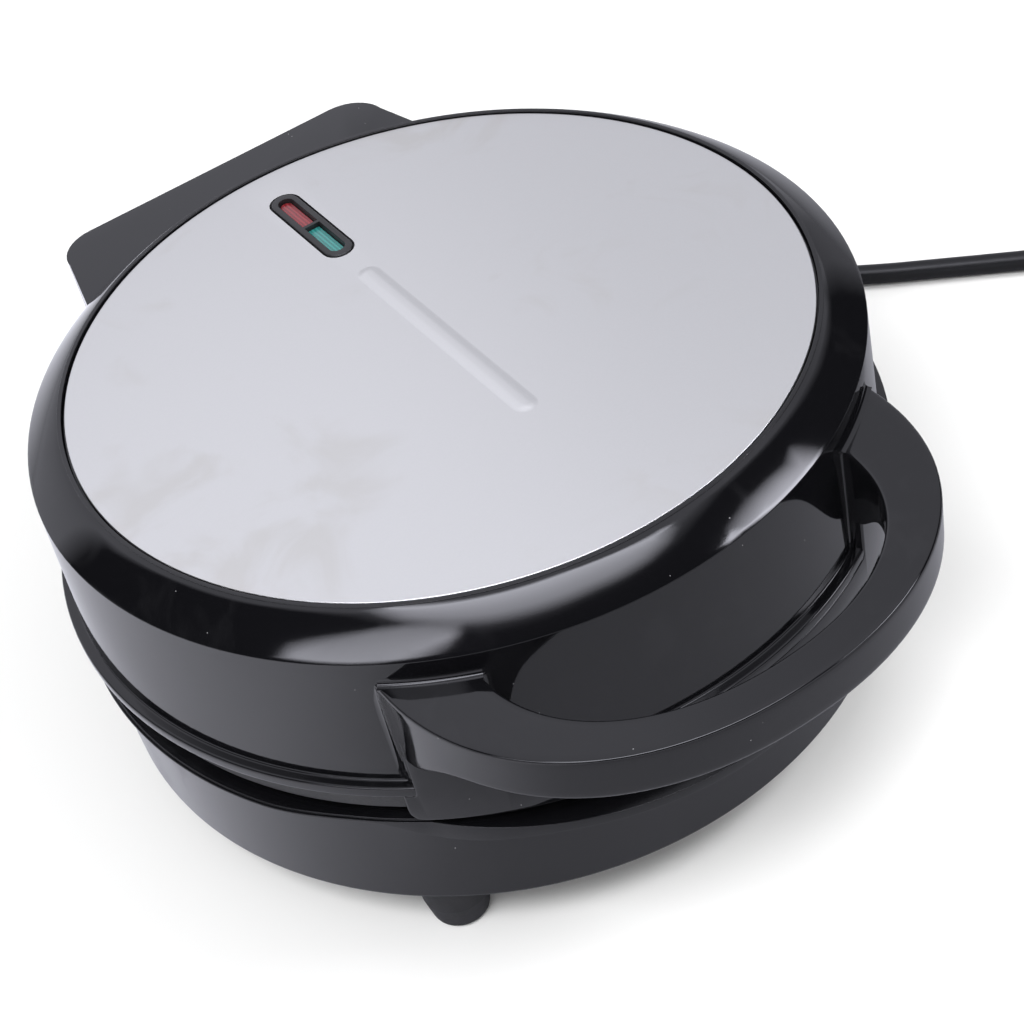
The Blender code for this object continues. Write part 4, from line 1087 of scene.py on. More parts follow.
baseSizes = {
    "bottom": 15.0,
    "floor": 17.5,
    "foot": 101.0,
    "wallTop": 101.8,
    "rim": 103.6,
    "rimFront": 102.3,
    "rimFade": (48, 62),
    "rimTop": 45.2,
    "fascia": 44.1,
    "step": 0.7,
    "wall": 2.6,
    "lipInner": 97.4,
    "lipLow": 42.2,
    "fillet": 1.2,
    "insideFillet": 3.0,
    "ledge": 7.8,
    "ledgeArc": 80.9,
    "ledgeDepth": 5.6,
    "ledgeFront": 3.0,
    "ledgeAngles": (47, 38, 20),
    "blockHalf": 46.0,
    "blockBack": 122.0,
    "blockCorner": 8.0,
    "blockTop": 44.0,
    "blockFront": 1.2,
    "blockEdge": 1.4,
    "blockWall": 2.5,
    "postHigh": 26.4,
    "postSeat": 22.5,
    "screwHole": 4.6,
    "screwHoleTop": 20.8,
    "plateHalf": (24, 14),
    "cordX": -18.0,
    "cordZ": 25.0,
    "glandNeck": 5.3,
    "steps": 240,
}


def rimAt(azimuth):
    # the slim edge of the rim, which fades out beside the ledge, and then the ledge itself
    s = baseSizes
    edge = s["rimFront"] + (s["rim"] - s["rimFront"]) * softShare(math.degrees(azimuth), *s["rimFade"])
    centre = s["rim"] + s["ledge"] - s["ledgeArc"]
    across = centre * math.sin(azimuth)
    ledge = centre * math.cos(azimuth) + math.sqrt(s["ledgeArc"] ** 2 - across**2)
    return edge, max(edge, ledge)


def ledgeDrop(azimuth):
    # how far the face of the rim reaches down past its usual depth
    s = baseSizes
    begin, deep, thin = s["ledgeAngles"]
    usual = s["rimTop"] - s["fascia"]
    full = (s["ledgeDepth"] - usual) * softShare(math.degrees(azimuth), begin, deep)
    return full - (s["ledgeDepth"] - s["ledgeFront"]) * softShare(math.degrees(azimuth), deep, thin)


def shapeRim(verts):
    s = baseSizes
    slope = (s["wallTop"] - s["foot"]) / (s["fascia"] - s["bottom"])
    for vert in verts:
        radius = vert.co.xy.length
        if radius < s["lipInner"] + 3.5 or vert.co.z < s["fascia"] - 0.3:
            continue
        azimuth = abs(math.atan2(vert.co.x, -vert.co.y))
        edge, reach = rimAt(azimuth)
        wanted = radius
        if radius > s["rim"] - 0.4:
            wanted += reach - s["rim"]
        elif radius > s["rim"] - s["step"] - 0.4:
            wanted += edge - s["rim"]
        if vert.co.z < s["fascia"] + 0.4:
            drop = ledgeDrop(azimuth)
            vert.co.z -= drop
            if radius < s["wallTop"] + 0.2:
                wanted -= drop * slope
        vert.co.xy *= wanted / radius


def addRod(bm, place, low, high, radius, steps=32, edge=0.0):
    run = [(0, low), (radius, low), (radius, high), (0, high)]
    if edge:
        run = softCorners([(0, low), (radius, low, edge), (radius, high, edge), (0, high)], 3)
    spinRun(bm, run, steps, matrix=Matrix.Translation((*place, 0)))


def makeBase():
    s = baseSizes
    inner = s["foot"] - s["wall"]
    step = s["rim"] - s["step"]
    run = [(0, s["floor"]), (inner, s["floor"], s["insideFillet"]), (inner, s["lipLow"], 0.5)]
    run += [(s["lipInner"], s["lipLow"], 0.3), (s["lipInner"], s["rimTop"] - 0.5, 0.2)]
    run += [(s["lipInner"] + 1.4, s["rimTop"] - 0.5, 0.2)]
    run += [(s["lipInner"] + 1.9, s["rimTop"], 0.3), (step, s["rimTop"], 0.25)]
    run += [(step, s["rimTop"] - 0.4, 0.12), (s["rim"], s["rimTop"] - 0.4, 0.2)]
    run += [(s["rim"], s["fascia"], 0.2), (s["wallTop"], s["fascia"], 0.15)]
    run += [(s["foot"], s["bottom"], s["fillet"]), (0, s["bottom"])]
    bm = bmesh.new()
    spinRun(bm, softCorners(run, 4), s["steps"])
    shapeRim(bm.verts)

    block = bmesh.new()
    plan = (s["blockHalf"], s["blockBack"], s["blockCorner"], 0)
    outline = backOutline(s["blockHalf"], s["foot"] - s["blockFront"], *plan)
    lower, upper = raiseOutline(block, outline, s["bottom"], s["blockTop"])
    bevelEdges(block, edgesBeyond(upper + lower, s["foot"] - 0.5), s["blockEdge"], 4)
    hollow = bmesh.new()
    front = s["foot"] - 0.3
    inside = backOutline(s["blockHalf"], front, *plan, s["blockWall"], front)
    raiseOutline(hollow, inside, s["floor"], s["blockTop"] - s["blockWall"])
    bores = bmesh.new()
    for x, y in fourPosts():
        addRod(bores, (x, y), s["bottom"] - 2, s["screwHoleTop"], s["screwHole"])
    turn = Matrix.Translation((s["cordX"], s["blockBack"] - 6, s["cordZ"])) @ alongY
    spinRun(bores, [(0, 0), (s["glandNeck"], 0), (s["glandNeck"], 12), (0, 12)], 32, matrix=turn)
    wide, deep = s["plateHalf"]
    addBlock(bores, (-wide, -deep, s["bottom"] - 1), (wide, deep, s["bottom"] + 0.4), 0.2)
    h = hingeSizes
    top = (h["y"] + h["radius"] * h["webShare"], h["z"])
    webs = hingeWebs(h["baseFrom"], h["baseTo"], s["blockTop"] - h["webSink"], top)
    knuckles = bmesh.new()
    addKnuckles(knuckles, h["baseFrom"], h["baseTo"])
    cuts = [("UNION", helperObject(block)), ("DIFFERENCE", helperObject(hollow))]
    cuts.append(("DIFFERENCE", helperObject(bores)))
    cuts += [("UNION", makePosts(s["bottom"], s["postHigh"], s["postSeat"]))]
    cuts += [("UNION", webs), ("UNION", helperObject(knuckles))]
    cuts += [("DIFFERENCE", pinBores())]
    finishPiece("base_bowl", bm, bowlBlack, "base", "black_gloss", ["base_housing"], cuts)


makeBase()
print("base made")


# Steel disc on top, with its rolled edge, its slot and its pressed bar

discSizes = {
    "radius": 90.0,
    "low": 101.2,
    "top": 102.0,
    "roll": 0.45,
    "barHalf": 2.9,
    "barFront": -42.0,
    "barBack": 33.0,
    "barRise": 0.5,
    "barSpread": 0.25,
    "barRings": 14,
}
bezelSizes = {
    "half": 3.8,
    "front": 42.0,
    "back": 77.5,
    "low": 91.8,
    "top": 102.3,
    "windowHalf": 1.95,
    "endWall": 2.2,
    "divider": 1.0,
    "lensTop": 101.3,
    "lensLow": 98.3,
    "gap": 0.3,
    "slotGap": 0.5,
    "edge": 0.45,
    "flare": 0.3,
}


def makeDisc():
    s = discSizes
    b = bezelSizes
    bm = bmesh.new()
    run = [(0, s["low"]), (s["radius"], s["low"], 0.2), (s["radius"], s["top"], s["roll"]), (0, s["top"])]
    spinRun(bm, softCorners(run, 6), 192)
    slot = bmesh.new()
    gap = b["slotGap"]
    outline = pillOutline(b["half"] + gap, b["front"] - gap, b["back"] + gap)
    raiseOutline(slot, outline, s["low"] - 1, s["top"] + 1)
    cuts = [("DIFFERENCE", helperObject(slot))]
    disc = finishPiece(
        "steel_disc",
        bm,
        satinSteel,
        "lid",
        "satin_steel",
        ["steel_top_plate"],
        cuts,
        place=Matrix.Identity(4),
    )
    # the pressed bar: rings that climb on a soft slope to a rounded crest
    bar = bmesh.new()
    plan = (s["barHalf"], s["barFront"], s["barBack"])
    rings = [[(x, y, s["top"] - 0.35) for x, y in pillOutline(*plan, -s["barSpread"])]]
    for i in range(s["barRings"] + 1):
        t = i / s["barRings"]
        height = s["top"] - 0.004 + s["barRise"] * math.sin(math.pi / 2 * softShare(t, 0, 1) ** 0.9)
        inset = min((s["barHalf"] + 0.2) * t - s["barSpread"], s["barHalf"] - 0.04)
        rings.append([(x, y, height) for x, y in pillOutline(*plan, inset)])
    loftRings(bar, rings)
    bmesh.ops.recalc_face_normals(bar, faces=bar.faces)
    joined = bmesh.new()
    joined.from_mesh(disc.data)
    addCopy(joined, bar)
    bmesh.ops.transform(joined, matrix=toFrame, verts=joined.verts)
    joined.to_mesh(disc.data)
    joined.free()
    disc.data.shade_smooth()
    disc.data.set_sharp_from_angle(angle=math.radians(40))


def halfPill(half, end, flat, inset, steps=10):
    # an oblong with one round end, at end, and a flat one
    radius = half - inset
    way = math.copysign(1, end - flat)
    points = []
    for i in range(steps + 1):
        angle = way * math.pi * i / steps
        points.append((radius * math.cos(angle), end - way * half + radius * math.sin(angle)))
    points += [(-radius, flat + way * inset), (radius, flat + way * inset)]
    return points if way > 0 else points[::-1]


def makeLights():
    b = bezelSizes
    middle = (b["front"] + b["back"]) / 2
    windows = [
        ("green_window", "green_lens", greenLens, b["front"] + b["endWall"], middle - b["divider"] / 2),
        ("red_window", "red_lens", redLens, b["back"] - b["endWall"], middle + b["divider"] / 2),
    ]
    bm = bmesh.new()
    _, upper = raiseOutline(bm, pillOutline(b["half"], b["front"], b["back"]), b["low"], b["top"])
    bevelEdges(bm, upper, b["edge"], 3)
    cutters = []
    for *_, end, flat in windows:
        hole = bmesh.new()
        raiseOutline(hole, halfPill(b["windowHalf"], end, flat, 0), b["low"] - 1, b["top"] - 0.25)
        rings = []
        for k in (0, 1):
            outline = halfPill(b["windowHalf"] + k * b["flare"], end, flat, 0)
            rings.append([(x, y, b["top"] - b["edge"] + k * 0.5) for x, y in outline])
        rim = bmesh.new()
        loftRings(rim, rings)
        cutters += [("DIFFERENCE", helperObject(hole)), ("DIFFERENCE", helperObject(rim))]
    finishPiece("light_bezel", bm, bezelBlack, "lid", "black_satin", ["indicator_frame"], cutters, sharp=35)
    for name, node, plastic, end, flat in windows:
        bm = bmesh.new()
        outline = halfPill(b["windowHalf"], end, flat, b["gap"] * 0.5)
        _, upper = raiseOutline(bm, outline, b["lensLow"], b["lensTop"])
        bevelEdges(bm, upper, 0.5, 3)
        finishPiece(name, bm, plastic, "lid", node, [node], sharp=45)


makeDisc()
makeLights()
print("disc and lights made")


# Cooking plates with rounded, drafted studs

plateSizes = {
    "radius": 96.4,
    "flange": 10.5,
    "flangeThick": 3.0,
    "thick": 3.0,
    "draft": 2.0,
    "depth": 9.0,
    "pitch": 18.0,
    "studBase": 13.0,
    "studTop": 9.0,
    "studHigh": 6.5,
    "margin": 1.5,
    "studCorner": 1.5,
    "studCrown": 0.9,
    "studSink": 0.6,
    "lipHigh": 0.5,
    "lipOuter": 1.6,
    "lipInner": 1.2,
    "boss": 4.5,
    "bossHigh": 7.0,
}


def makePlate(name, node, meeting, way, body):
    s = plateSizes
    recess = s["radius"] - s["flange"]
    floorRadius = recess - s["draft"]
    floor = meeting + way * s["depth"]
    back = floor + way * s["thick"]
    flange = meeting + way * s["flangeThick"]
    lipFoot = meeting + way * s["lipHigh"]
    run = [(0, back), (floorRadius + s["thick"], back, 2.0), (recess + s["thick"], flange, 1.5)]
    run += [(s["radius"], flange, 0.6), (s["radius"], meeting, 0.5), (recess + s["lipOuter"], meeting, 0.4)]
    run += [(recess + s["lipInner"], lipFoot, 0.3), (recess, lipFoot, 0.8)]
    run += [(floorRadius, floor, 2.0), (0, floor)]
    bm = bmesh.new()
    spinRun(bm, softCorners(run, 5), 120)
    stud = bmesh.new()
    made = bmesh.ops.create_cube(stud, size=1)["verts"]
    bmesh.ops.scale(stud, vec=(s["studBase"], s["studBase"], s["studHigh"] + s["studSink"]), verts=made)
    tops = [vert for vert in made if vert.co.z * -way > 0]
    share = s["studTop"] / s["studBase"]
    bmesh.ops.scale(stud, vec=(share, share, 1), verts=tops)
    corners = [edge for edge in stud.edges if abs(edge.verts[0].co.z - edge.verts[1].co.z) > 1]
    bevelEdges(stud, corners, s["studCorner"], 3)
    crown = [edge for edge in stud.edges if all(vert.co.z * -way > 0 for vert in edge.verts)]
    bevelEdges(stud, crown, s["studCrown"], 3)
    middle = floor - way * (s["studHigh"] - s["studSink"]) / 2
    bmesh.ops.translate(stud, vec=(0, 0, middle), verts=stud.verts)
    mesh = bpy.data.meshes.new("stud")
    stud.to_mesh(mesh)
    stud.free()
    count = math.ceil(floorRadius / s["pitch"])
    corner = s["studBase"] / 2
    for i in range(-count, count + 1):
        for j in range(-count, count + 1):
            far = math.hypot(abs(i) * s["pitch"] + corner, abs(j) * s["pitch"] + corner)
            if far >= floorRadius - s["margin"]:
                continue
            before = set(bm.verts)
            bm.from_mesh(mesh)
            made = [vert for vert in bm.verts if vert not in before]
            bmesh.ops.translate(bm, vec=(i * s["pitch"], j * s["pitch"], 0), verts=made)
    bpy.data.meshes.remove(mesh)
    for x, y in fourPosts():
        ends = sorted((floor + way * 1.5, back + way * s["bossHigh"]))
        addRod(bm, (x, y), ends[0], ends[1], s["boss"], 28, 0.4)
    finishPiece(name, bm, nonStick, body, "non_stick", [node], sharp=35)


makePlate("upper_waffle_plate", "upper_cooking_plate", 47.0, 1, "lid")
makePlate("lower_waffle_plate", "lower_cooking_plate", 46.7, -1, "base")
print("cooking plates made")


# Cross-recess screws

screwSizes = {
    "head": 3.5,
    "headHigh": 2.2,
    "shank": 1.6,
    "long": 9.1,
    "point": 1.2,
    "plain": 1.0,
    "threads": 8,
    "threadDepth": 0.25,
    "recess": 1.3,
    "slot": 0.9,
    "reach": 2.0,
    "seats": (("upper", 71.5, 1, "lid"), ("lower", 22.2, -1, "base")),
}


def makeScrews():
    s = screwSizes
    bm = bmesh.new()
    start = s["point"] - s["long"]
    run = [(0, -s["long"]), (s["shank"] * 0.5, -s["long"]), (s["shank"], start)]
    step = (s["long"] - s["point"] - s["plain"]) / s["threads"]
    for i in range(s["threads"]):
        low = start + step * i
        run += [(s["shank"] - s["threadDepth"], low + step * 0.25), (s["shank"], low + step * 0.75)]
    run += [(s["shank"], 0.0), (s["head"], 0.0, 0.3), (s["head"], s["headHigh"] * 0.55, 0.5)]
    run += [(s["head"] * 0.55, s["headHigh"], 0.8), (0, s["headHigh"])]
    spinRun(bm, softCorners(run, 3), 28)
    pattern = helperObject(bm)
    for turn in (0.0, math.pi / 2):
        cross = bmesh.new()
        made = bmesh.ops.create_cube(cross, size=1)["verts"]
        bmesh.ops.scale(cross, vec=(2 * s["reach"], s["slot"], 2 * s["recess"]), verts=made)
        deep = [vert for vert in made if vert.co.z < 0]
        bmesh.ops.scale(cross, vec=(0.45, 1, 1), verts=deep)
        bmesh.ops.rotate(cross, cent=(0, 0, 0), matrix=Matrix.Rotation(turn, 3, "Z"), verts=made)
        bmesh.ops.translate(cross, vec=(0, 0, s["headHigh"]), verts=made)
        boolMesh(pattern, helperObject(cross), "DIFFERENCE")
    for side, seat, way, body in s["seats"]:
        for number, (x, y) in enumerate(fourPosts(), 1):
            screw = bmesh.new()
            screw.from_mesh(pattern.data)
            over = Matrix.Rotation(0 if way > 0 else math.pi, 4, "X")
            turn = over @ Matrix.Rotation(0.4 * number, 4, "Z")
            bmesh.ops.transform(screw, matrix=Matrix.Translation((x, y, seat)) @ turn, verts=screw.verts)
            node = f"{side}_plate_screw_{number}"
            finishPiece(f"{side}_screw_{number}", screw, zincSteel, body, "plain_steel", [node])
    bpy.data.objects.remove(pattern)


makeScrews()
print("screws made")


# Feet

footSizes = {
    "circle": 91.4,
    "angle": 41,
    "top": 14.7,
    "topRadius": 8.3,
    "waist": 8.4,
    "sole": 7.0,
    "dish": 0.35,
    "ring": 1.9,
}


def makeFeet():
    s = footSizes
    inner = s["sole"] - s["ring"]
    run = [(0, s["dish"]), (inner - 0.4, s["dish"], 0.2), (inner, 0, 0.2), (s["sole"], 0, 1.1)]
    run += [(s["waist"], s["top"] * 0.5, 3.0), (s["topRadius"], s["top"], 0.4), (0, s["top"])]
    for ySide, yName in ((-1, "front"), (1, "rear")):
        for xSide, xName in ((-1, "left"), (1, "right")):
            bm = bmesh.new()
            angle = math.radians(s["angle"])
            place = (xSide * s["circle"] * math.sin(angle), ySide * s["circle"] * math.cos(angle), 0)
            spinRun(bm, softCorners(run, 4), 48, matrix=Matrix.Translation(place))
            node = f"foot_{yName}_{xName}"
            finishPiece(f"rubber_{node}", bm, footRubber, "base", "foot_rubber", [node], sharp=40)


makeFeet()
print("feet made")


# Cord, its gland, its plug and the pins

glandSizes = {
    "flange": 6.8,
    "thick": 2.0,
    "gap": 0.3,
    "neck": 5.0,
    "root": 5.8,
    "tip": 4.0,
    "long": 25.7,
    "ribs": 7,
}
plugSizes = {
    "width": 31.0,
    "long": 34.0,
    "boot": 30.0,
    "half": 9.25,
    "pin": 2.4,
    "pinTip": 2.25,
    "pinLong": 19.0,
    "pitch": 19.0,
    # the body, as (along, half width, half height) from the boot's end
    "shoulder": ((-0.4, 5.2, 5.2), (0, 7.0, 6.2), (1.5, 9.6, 7.4), (4, 12.4, 8.3), (7, 14.4, 8.8)),
    "grooves": (12, 17, 22),
    # each grip groove and the rim of the face, as (along, inset, half height)
    "groove": ((0, 0.9, 8.7), (1, 1.2, 8.5), (2, 0.9, 8.7), (3.5, 0.2, 9.0)),
    "face": ((-1.2, 0, 9.1), (-0.4, 0.4, 8.8), (0, 1.2, 8.2)),
    # the ribbed boot behind it, from the cord to the body
    "bootTip": 4.0,
    "bootRoot": 5.6,
    "bootRibs": 8,
}


def ribbedBoot(start, end, startRadius, endRadius, ribs):
    # a tapered boot with square grooves
    run = []
    for i in range(ribs):
        for share, groove in ((0.12, 0), (0.62, 0), (0.70, 0.75), (0.98, 0.75)):
            t = (i + share) / ribs
            radius = startRadius + (endRadius - startRadius) * t
            run.append((radius - groove, start + (end - start) * t, 0.18))
    return run


def makeCord():
    curve = bpy.data.curves.new("mains_cord", "CURVE")
    curve.dimensions = "3D"
    curve.bevel_depth = cordSizes["radius"]
    curve.bevel_resolution = 6
    curve.use_fill_caps = True
    spline = curve.splines.new("POLY")
    spline.points.add(len(cordPoints) - 1)
    for point, place in zip(spline.points, cordPoints):
        point.co = (*place, 1)
    spline.use_smooth = True
    curve.materials.append(cordSheath)
    cord = bpy.data.objects.new("mains_cord", curve)
    bpy.context.scene.collection.objects.link(cord)
    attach(cord, "base")
    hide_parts("power_cord_run", "power_cord_coil")
    return cord


def makeGland():
    # one flange inside the block's wall and one outside, then the ribbed boot
    s = glandSizes
    b = baseSizes
    wall = b["blockWall"]
    gap = s["gap"]
    face = gap + s["thick"]
    end = face + s["long"]
    run = [(0, -wall - face), (s["flange"], -wall - face, 0.4), (s["flange"], -wall - gap, 0.4)]
    run += [(s["neck"], -wall - gap), (s["neck"], gap), (s["flange"], gap, 0.3), (s["flange"], face, 0.8)]
    run += [(s["root"], face, 0.3)]
    run += ribbedBoot(face + 0.9, end - 3.0, s["root"], s["tip"] + 0.2, s["ribs"])
    run += [(s["tip"], end - 2.6, 0.3), (s["tip"], end, 0.5), (0, end)]
    bm = bmesh.new()
    place = Matrix.Translation((b["cordX"], b["blockBack"], b["cordZ"])) @ alongY
    spinRun(bm, softCorners(run, 3), 48, matrix=place)
    return finishPiece("cord_boot", bm, cordSheath, "base", "cord_sheath", ["cord_gland"], sharp=35)


def plugSections():
    s = plugSizes
    near = s["boot"]
    half = s["width"] / 2
    sections = [(near + along, wide, tall) for along, wide, tall in s["shoulder"]]
    sections.append((near + 10, half - 0.3, 9.0))
    for groove in s["grooves"]:
        sections += [(near + groove + along, half - inset, tall) for along, inset, tall in s["groove"]]
    # the last groove ends at the full width
    sections[-1] = (near + s["grooves"][-1] + 3.5, half, 9.1)
    return sections + [(near + s["long"] + along, half - inset, tall) for along, inset, tall in s["face"]]


def makePlug(start, way):
    s = plugSizes
    turn = Matrix.Rotation(math.atan2(way.y, way.x) - math.pi / 2, 4, "Z")
    shift = Matrix.Translation((start.x, start.y, s["half"] / 1000 + 0.0003))
    place = shift @ turn @ Matrix.Scale(0.001, 4)
    near = s["boot"]
    far = near + s["long"]
    bm = bmesh.new()
    rings = []
    for along, wide, tall in plugSections():
        corners = [(wide, tall), (-wide, tall), (-wide, -tall), (wide, -tall)]
        rounded = softCorners([(x, z, tall * 0.72) for x, z in corners], 6, True)
        rings.append([(x, along, z) for x, z in rounded])
    loftRings(bm, rings)
    tip, root = s["bootTip"], s["bootRoot"]
    run = [(0, 0.0), (tip, 0.0, 0.4)] + ribbedBoot(1.5, near - 1.5, tip + 0.1, root, s["bootRibs"])
    run += [(root + 0.2, near, 0.3), (root + 0.2, near + 3.0), (0, near + 3.0)]
    spinRun(bm, softCorners(run, 3), 40, matrix=alongY)
    sheath = (cordSheath, "base", "cord_sheath")
    pieces = [finishPiece("mains_plug", bm, *sheath, ["plug_body"], sharp=38, place=place)]
    pin, tip, long = s["pin"], s["pinTip"], s["pinLong"]
    for side, node in ((-1, "plug_pin_left"), (1, "plug_pin_right")):
        bm = bmesh.new()
        run = [(0, 0.3), (pin, 0.3), (pin, long * 0.5, 0.1), (tip, long * 0.5 + 0.2, 0.1)]
        run += [(tip, long - 1.9, 0.6), (pin - 1.3, long - 0.2, 0.8), (0, long)]
        shift = Matrix.Translation((side * s["pitch"] / 2, far, 0)) @ alongY
        spinRun(bm, softCorners(run, 4), 32, matrix=shift)
        name = node.replace("plug_pin", "contact_pin")
        pieces.append(finishPiece(name, bm, pinBrass, "base", "pin_brass", [node], place=place))
    return pieces


cord = makeCord()
boot = makeGland()
plugPieces = makePlug(cordPoints[-1] + plugWay * cordSizes["clearance"], plugWay)
print("cord and plug made")


# Finishes for the nodes that keep their own shape

nodeFinishes = [
    (heaterSheath, ["upper_heating_element", "lower_heating_element"]),
    (brightSheet, ["upper_heat_shield", "lower_heat_shield"]),
    (zincSteel, ["hinge_pin_left", "hinge_pin_right"]),
    (lampGlass, ["power_lamp", "ready_lamp"]),
    (thermostatCeramic, ["thermostat"]),
    (terminalPlastic, ["terminal_block"]),
    (glassSleeve, ["thermal_fuse", "lower_heater_lead", "thermostat_lead", "power_lamp_lead"]),
    (glassSleeve, ["ready_lamp_lead", "supply_lead_left", "supply_lead_right"]),
    (glassSleeve, ["upper_heater_lead_left", "upper_heater_lead_right"]),
]
for material, names in nodeFinishes:
    for name in names:
        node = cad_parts[name]
        if not node.material_slots:
            node.data.materials.append(material)
        for materialSlot in node.material_slots:
            materialSlot.material = material
print("nodes finished")


# Floor, backdrop light and lamps. The panels stand round the object and show only in its gloss

stageLook = {
    "floor": 0.92,
    "floorHalf": 6.0,
    "floorDrop": 0.0004,
    "floorGloss": 0.93,
    "floorFront": 0.40,
    "shadeFrom": -0.12,
    "shadeTo": 0.02,
    "shadeTurn": 50,
    "gloss": (0.965, 0.97, 1.08),
    "worldLight": 0.75,
    "reach": 2.4,
    "panelHeight": 0.08,
    "panelStep": 5,
    "lamps": [
        # place, what it looks at, width, height, watts
        ((-0.55, -0.35, 1.05), (0, 0, 0.08), 0.60, 0.40, 9.0),
        ((0.85, -0.55, 1.10), (0, 0, 0.08), 0.50, 0.50, 9.0),
    ],
}
# each panel: how bright it is along its low and high edges and its soft edge in degrees, then stations
# of (azimuth from the front, lowest elevation, highest elevation), in degrees
panels = {
    "dim backdrop": (
        (0.72, 0.72, 9),
        [(78, -6, 40), (105, -6, 52), (146, -6, 52), (158, -6, 29), (188, -6, 27), (200, -6, 24)],
    ),
    "side flag": (
        (0.32, 0.42, 4),
        [(97, -8, 26), (108, -8, 26), (119, -8, 22)],
    ),
    "dark flag": (
        (0.0, 0.0, 3.5),
        [(-136, 6, 30), (-127, 14, 43), (-118, 18, 50), (-108, 20, 58), (-97, 21, 62), (-82, 22, 64)]
        + [(-68, 22, 62), (-50, 23, 59), (-30, 24, 56.5), (0, 26, 56), (20, 28, 54), (33, 26, 53)]
        + [(45, 18, 54), (58, 4, 54), (68, -8, 49.5), (76, -8, 43), (83, -8, 36), (90, -8, 30)]
        + [(97, -8, 25), (104, -8, 21)],
    ),
    "overhead strip": (
        (5.2, 9.5, 2.5),
        [(-88, 70, 74), (-76, 66, 75), (-62, 62, 75.5), (-45, 59.5, 75.5), (-30, 58, 75.5)]
        + [(-10, 57, 75), (5, 56, 74.5), (15, 54.5, 73.5), (24, 53.5, 70), (33, 54, 65), (41, 57, 61)],
    ),
    "left box": (
        (7.0, 4.5, 2.2),
        [(-82, 39.5, 46), (-75, 40.5, 51), (-66, 42, 56), (-58, 44.5, 58.5), (-50, 48, 59), (-42, 52, 58)],
    ),
    "right box": (
        (15.0, 8.0, 2.8),
        [(41, 37.5, 39.5), (46, 33, 39.5), (52, 27.5, 38.5), (58, 24, 36), (63, 22, 32.5)],
    ),
}


def makeStage(look):
    floorMesh = bmesh.new()
    bmesh.ops.create_grid(floorMesh, x_segments=1, y_segments=1, size=look["floorHalf"])
    mesh = bpy.data.meshes.new("floor")
    floorMesh.to_mesh(mesh)
    floorMesh.free()
    floor = bpy.data.objects.new("floor", mesh)
    floor.location.z = -look["floorDrop"]
    bpy.context.scene.collection.objects.link(floor)
    material = bpy.data.materials.new("studio floor")
    material.use_nodes = True
    tree = material.node_tree
    shader = tree.nodes["Principled BSDF"]
    shader.inputs["Roughness"].default_value = 0.9
    shader.inputs["Specular IOR Level"].default_value = 0.0
    # in the gloss the floor falls off towards the front right, where less light reaches it
    place = addNode(tree, "TexCoord").outputs["Object"]
    turn = (0, 0, math.radians(90 - look["shadeTurn"]))
    turned = addNode(tree, "Mapping", {"Vector": place, "Rotation": turn})
    along = addNode(tree, "SeparateXYZ", {"Vector": turned.outputs[0]}).outputs["X"]
    shade = {"Value": along, "From Min": look["shadeFrom"], "From Max": look["shadeTo"]}
    fall = addNode(tree, "MapRange", shade, interpolation_type="SMOOTHSTEP")
    glossy = addNode(tree, "LightPath").outputs["Is Glossy Ray"]
    plain = (look["floor"],) * 3
    cool = toned(look["gloss"], look["floorGloss"])
    shaded = toned(look["gloss"], look["floorFront"])
    mirrored = colourMix(tree, fall.outputs["Result"], cool, shaded)
    tree.links.new(colourMix(tree, glossy, plain, mirrored), shader.inputs["Base Color"])
    mesh.materials.append(material)

    world = bpy.data.worlds.new("studio")
    bpy.context.scene.world = world
    world.use_nodes = True
    tree = world.node_tree
    background = tree.nodes["Background"]
    rays = addNode(tree, "LightPath")
    inGloss = rays.outputs["Is Glossy Ray"]
    seen = calculate(tree, "MAXIMUM", rays.outputs["Is Camera Ray"], inGloss)
    seen = calculate(tree, "MAXIMUM", seen, rays.outputs["Is Transmission Ray"])
    level = addNode(tree, "MapRange", {"Value": seen, "To Min": look["worldLight"], "To Max": 1.0})
    tree.links.new(level.outputs[0], background.inputs["Strength"])
    tree.links.new(colourMix(tree, inGloss, (1, 1, 1), look["gloss"]), background.inputs["Color"])

    for i, (place, aim, width, height, power) in enumerate(look["lamps"]):
        light = bpy.data.lights.new(f"soft box {i + 1}", "AREA")
        light.shape = "RECTANGLE"
        light.size = width
        light.size_y = height
        light.energy = power
        lamp = bpy.data.objects.new(light.name, light)
        turn = (Vector(place) - Vector(aim)).to_track_quat("Z", "Y").to_matrix().to_4x4()
        lamp.matrix_world = Matrix.Translation(place) @ turn
        lamp.visible_glossy = False
        bpy.context.scene.collection.objects.link(lamp)


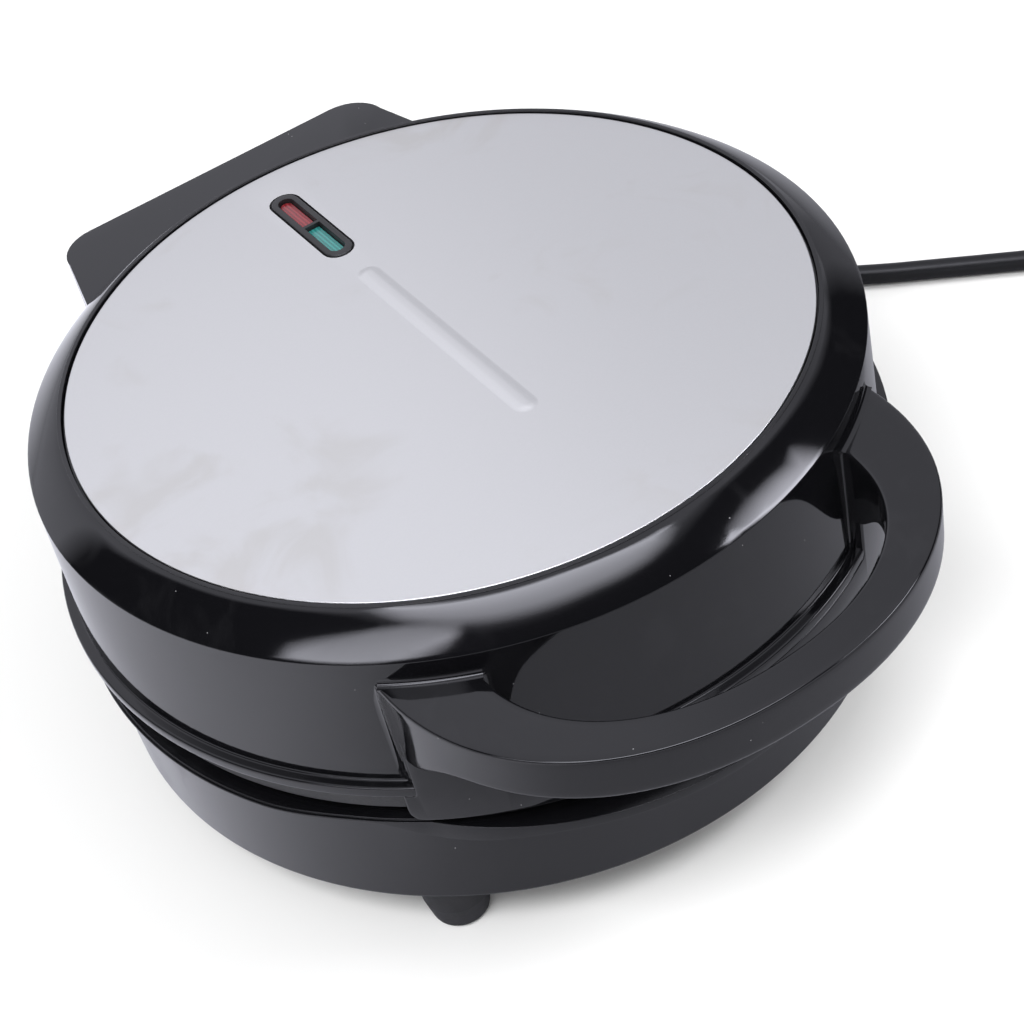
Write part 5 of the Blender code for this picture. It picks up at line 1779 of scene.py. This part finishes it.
def makePanel(name, levels, stations, distance):
    # a feathered strip of the studio, bent round the object from station to station
    lowLevel, highLevel, soft = levels
    fine = [stations[0]]
    for start, end in zip(stations, stations[1:]):
        parts = max(1, round((end[0] - start[0]) / stageLook["panelStep"]))
        for i in range(1, parts + 1):
            fine.append(tuple(a + (b - a) * i / parts for a, b in zip(start, end)))
    stations = [(fine[0][0] - 2 * soft, *fine[0][1:])] + fine + [(fine[-1][0] + 2 * soft, *fine[-1][1:])]
    bm = bmesh.new()
    bmesh.ops.create_grid(bm, x_segments=len(stations) - 1, y_segments=3, size=1)
    cover = bm.verts.layers.float.new("cover")
    level = bm.verts.layers.float.new("level")
    for vert in bm.verts:
        column = round((vert.co.x + 1) / 2 * (len(stations) - 1))
        row = round((vert.co.y + 1) / 2 * 3)
        azimuth, low, high = stations[column]
        elevation = (low - soft, low + soft, high - soft, high + soft)[row]
        vert[cover] = 1.0 if row in (1, 2) and 0 < column < len(stations) - 1 else 0.0
        vert[level] = lowLevel if row < 2 else highLevel
        turn = math.radians(azimuth)
        tilt = math.radians(elevation)
        vert.co = (math.sin(turn) * math.cos(tilt), -math.cos(turn) * math.cos(tilt), math.sin(tilt))
        vert.co *= distance
    mesh = bpy.data.meshes.new(name)
    bm.to_mesh(mesh)
    bm.free()
    panel = bpy.data.objects.new(name, mesh)
    panel.location.z = stageLook["panelHeight"]
    bpy.context.scene.collection.objects.link(panel)
    material = bpy.data.materials.new(name)
    material.use_nodes = True
    tree = material.node_tree
    tree.nodes.remove(tree.nodes["Principled BSDF"])
    shown = addNode(tree, "Attribute", attribute_name="cover").outputs["Fac"]
    bright = addNode(tree, "Attribute", attribute_name="level").outputs["Fac"]
    glow = addNode(tree, "Emission", {"Color": (*stageLook["gloss"], 1), "Strength": bright})
    clear = addNode(tree, "BsdfTransparent")
    mixed = addNode(tree, "MixShader", {"Fac": shown})
    tree.links.new(clear.outputs[0], mixed.inputs[1])
    tree.links.new(glow.outputs[0], mixed.inputs[2])
    tree.links.new(mixed.outputs[0], tree.nodes["Material Output"].inputs["Surface"])
    mesh.materials.append(material)
    panel.visible_camera = False
    panel.visible_diffuse = False
    panel.visible_shadow = False
    panel.visible_transmission = False


makeStage(stageLook)
for i, (name, (levels, stations)) in enumerate(panels.items()):
    makePanel(name, levels, stations, stageLook["reach"] - 0.1 * i)
bpy.context.scene.view_settings.view_transform = "Standard"
print("stage set")
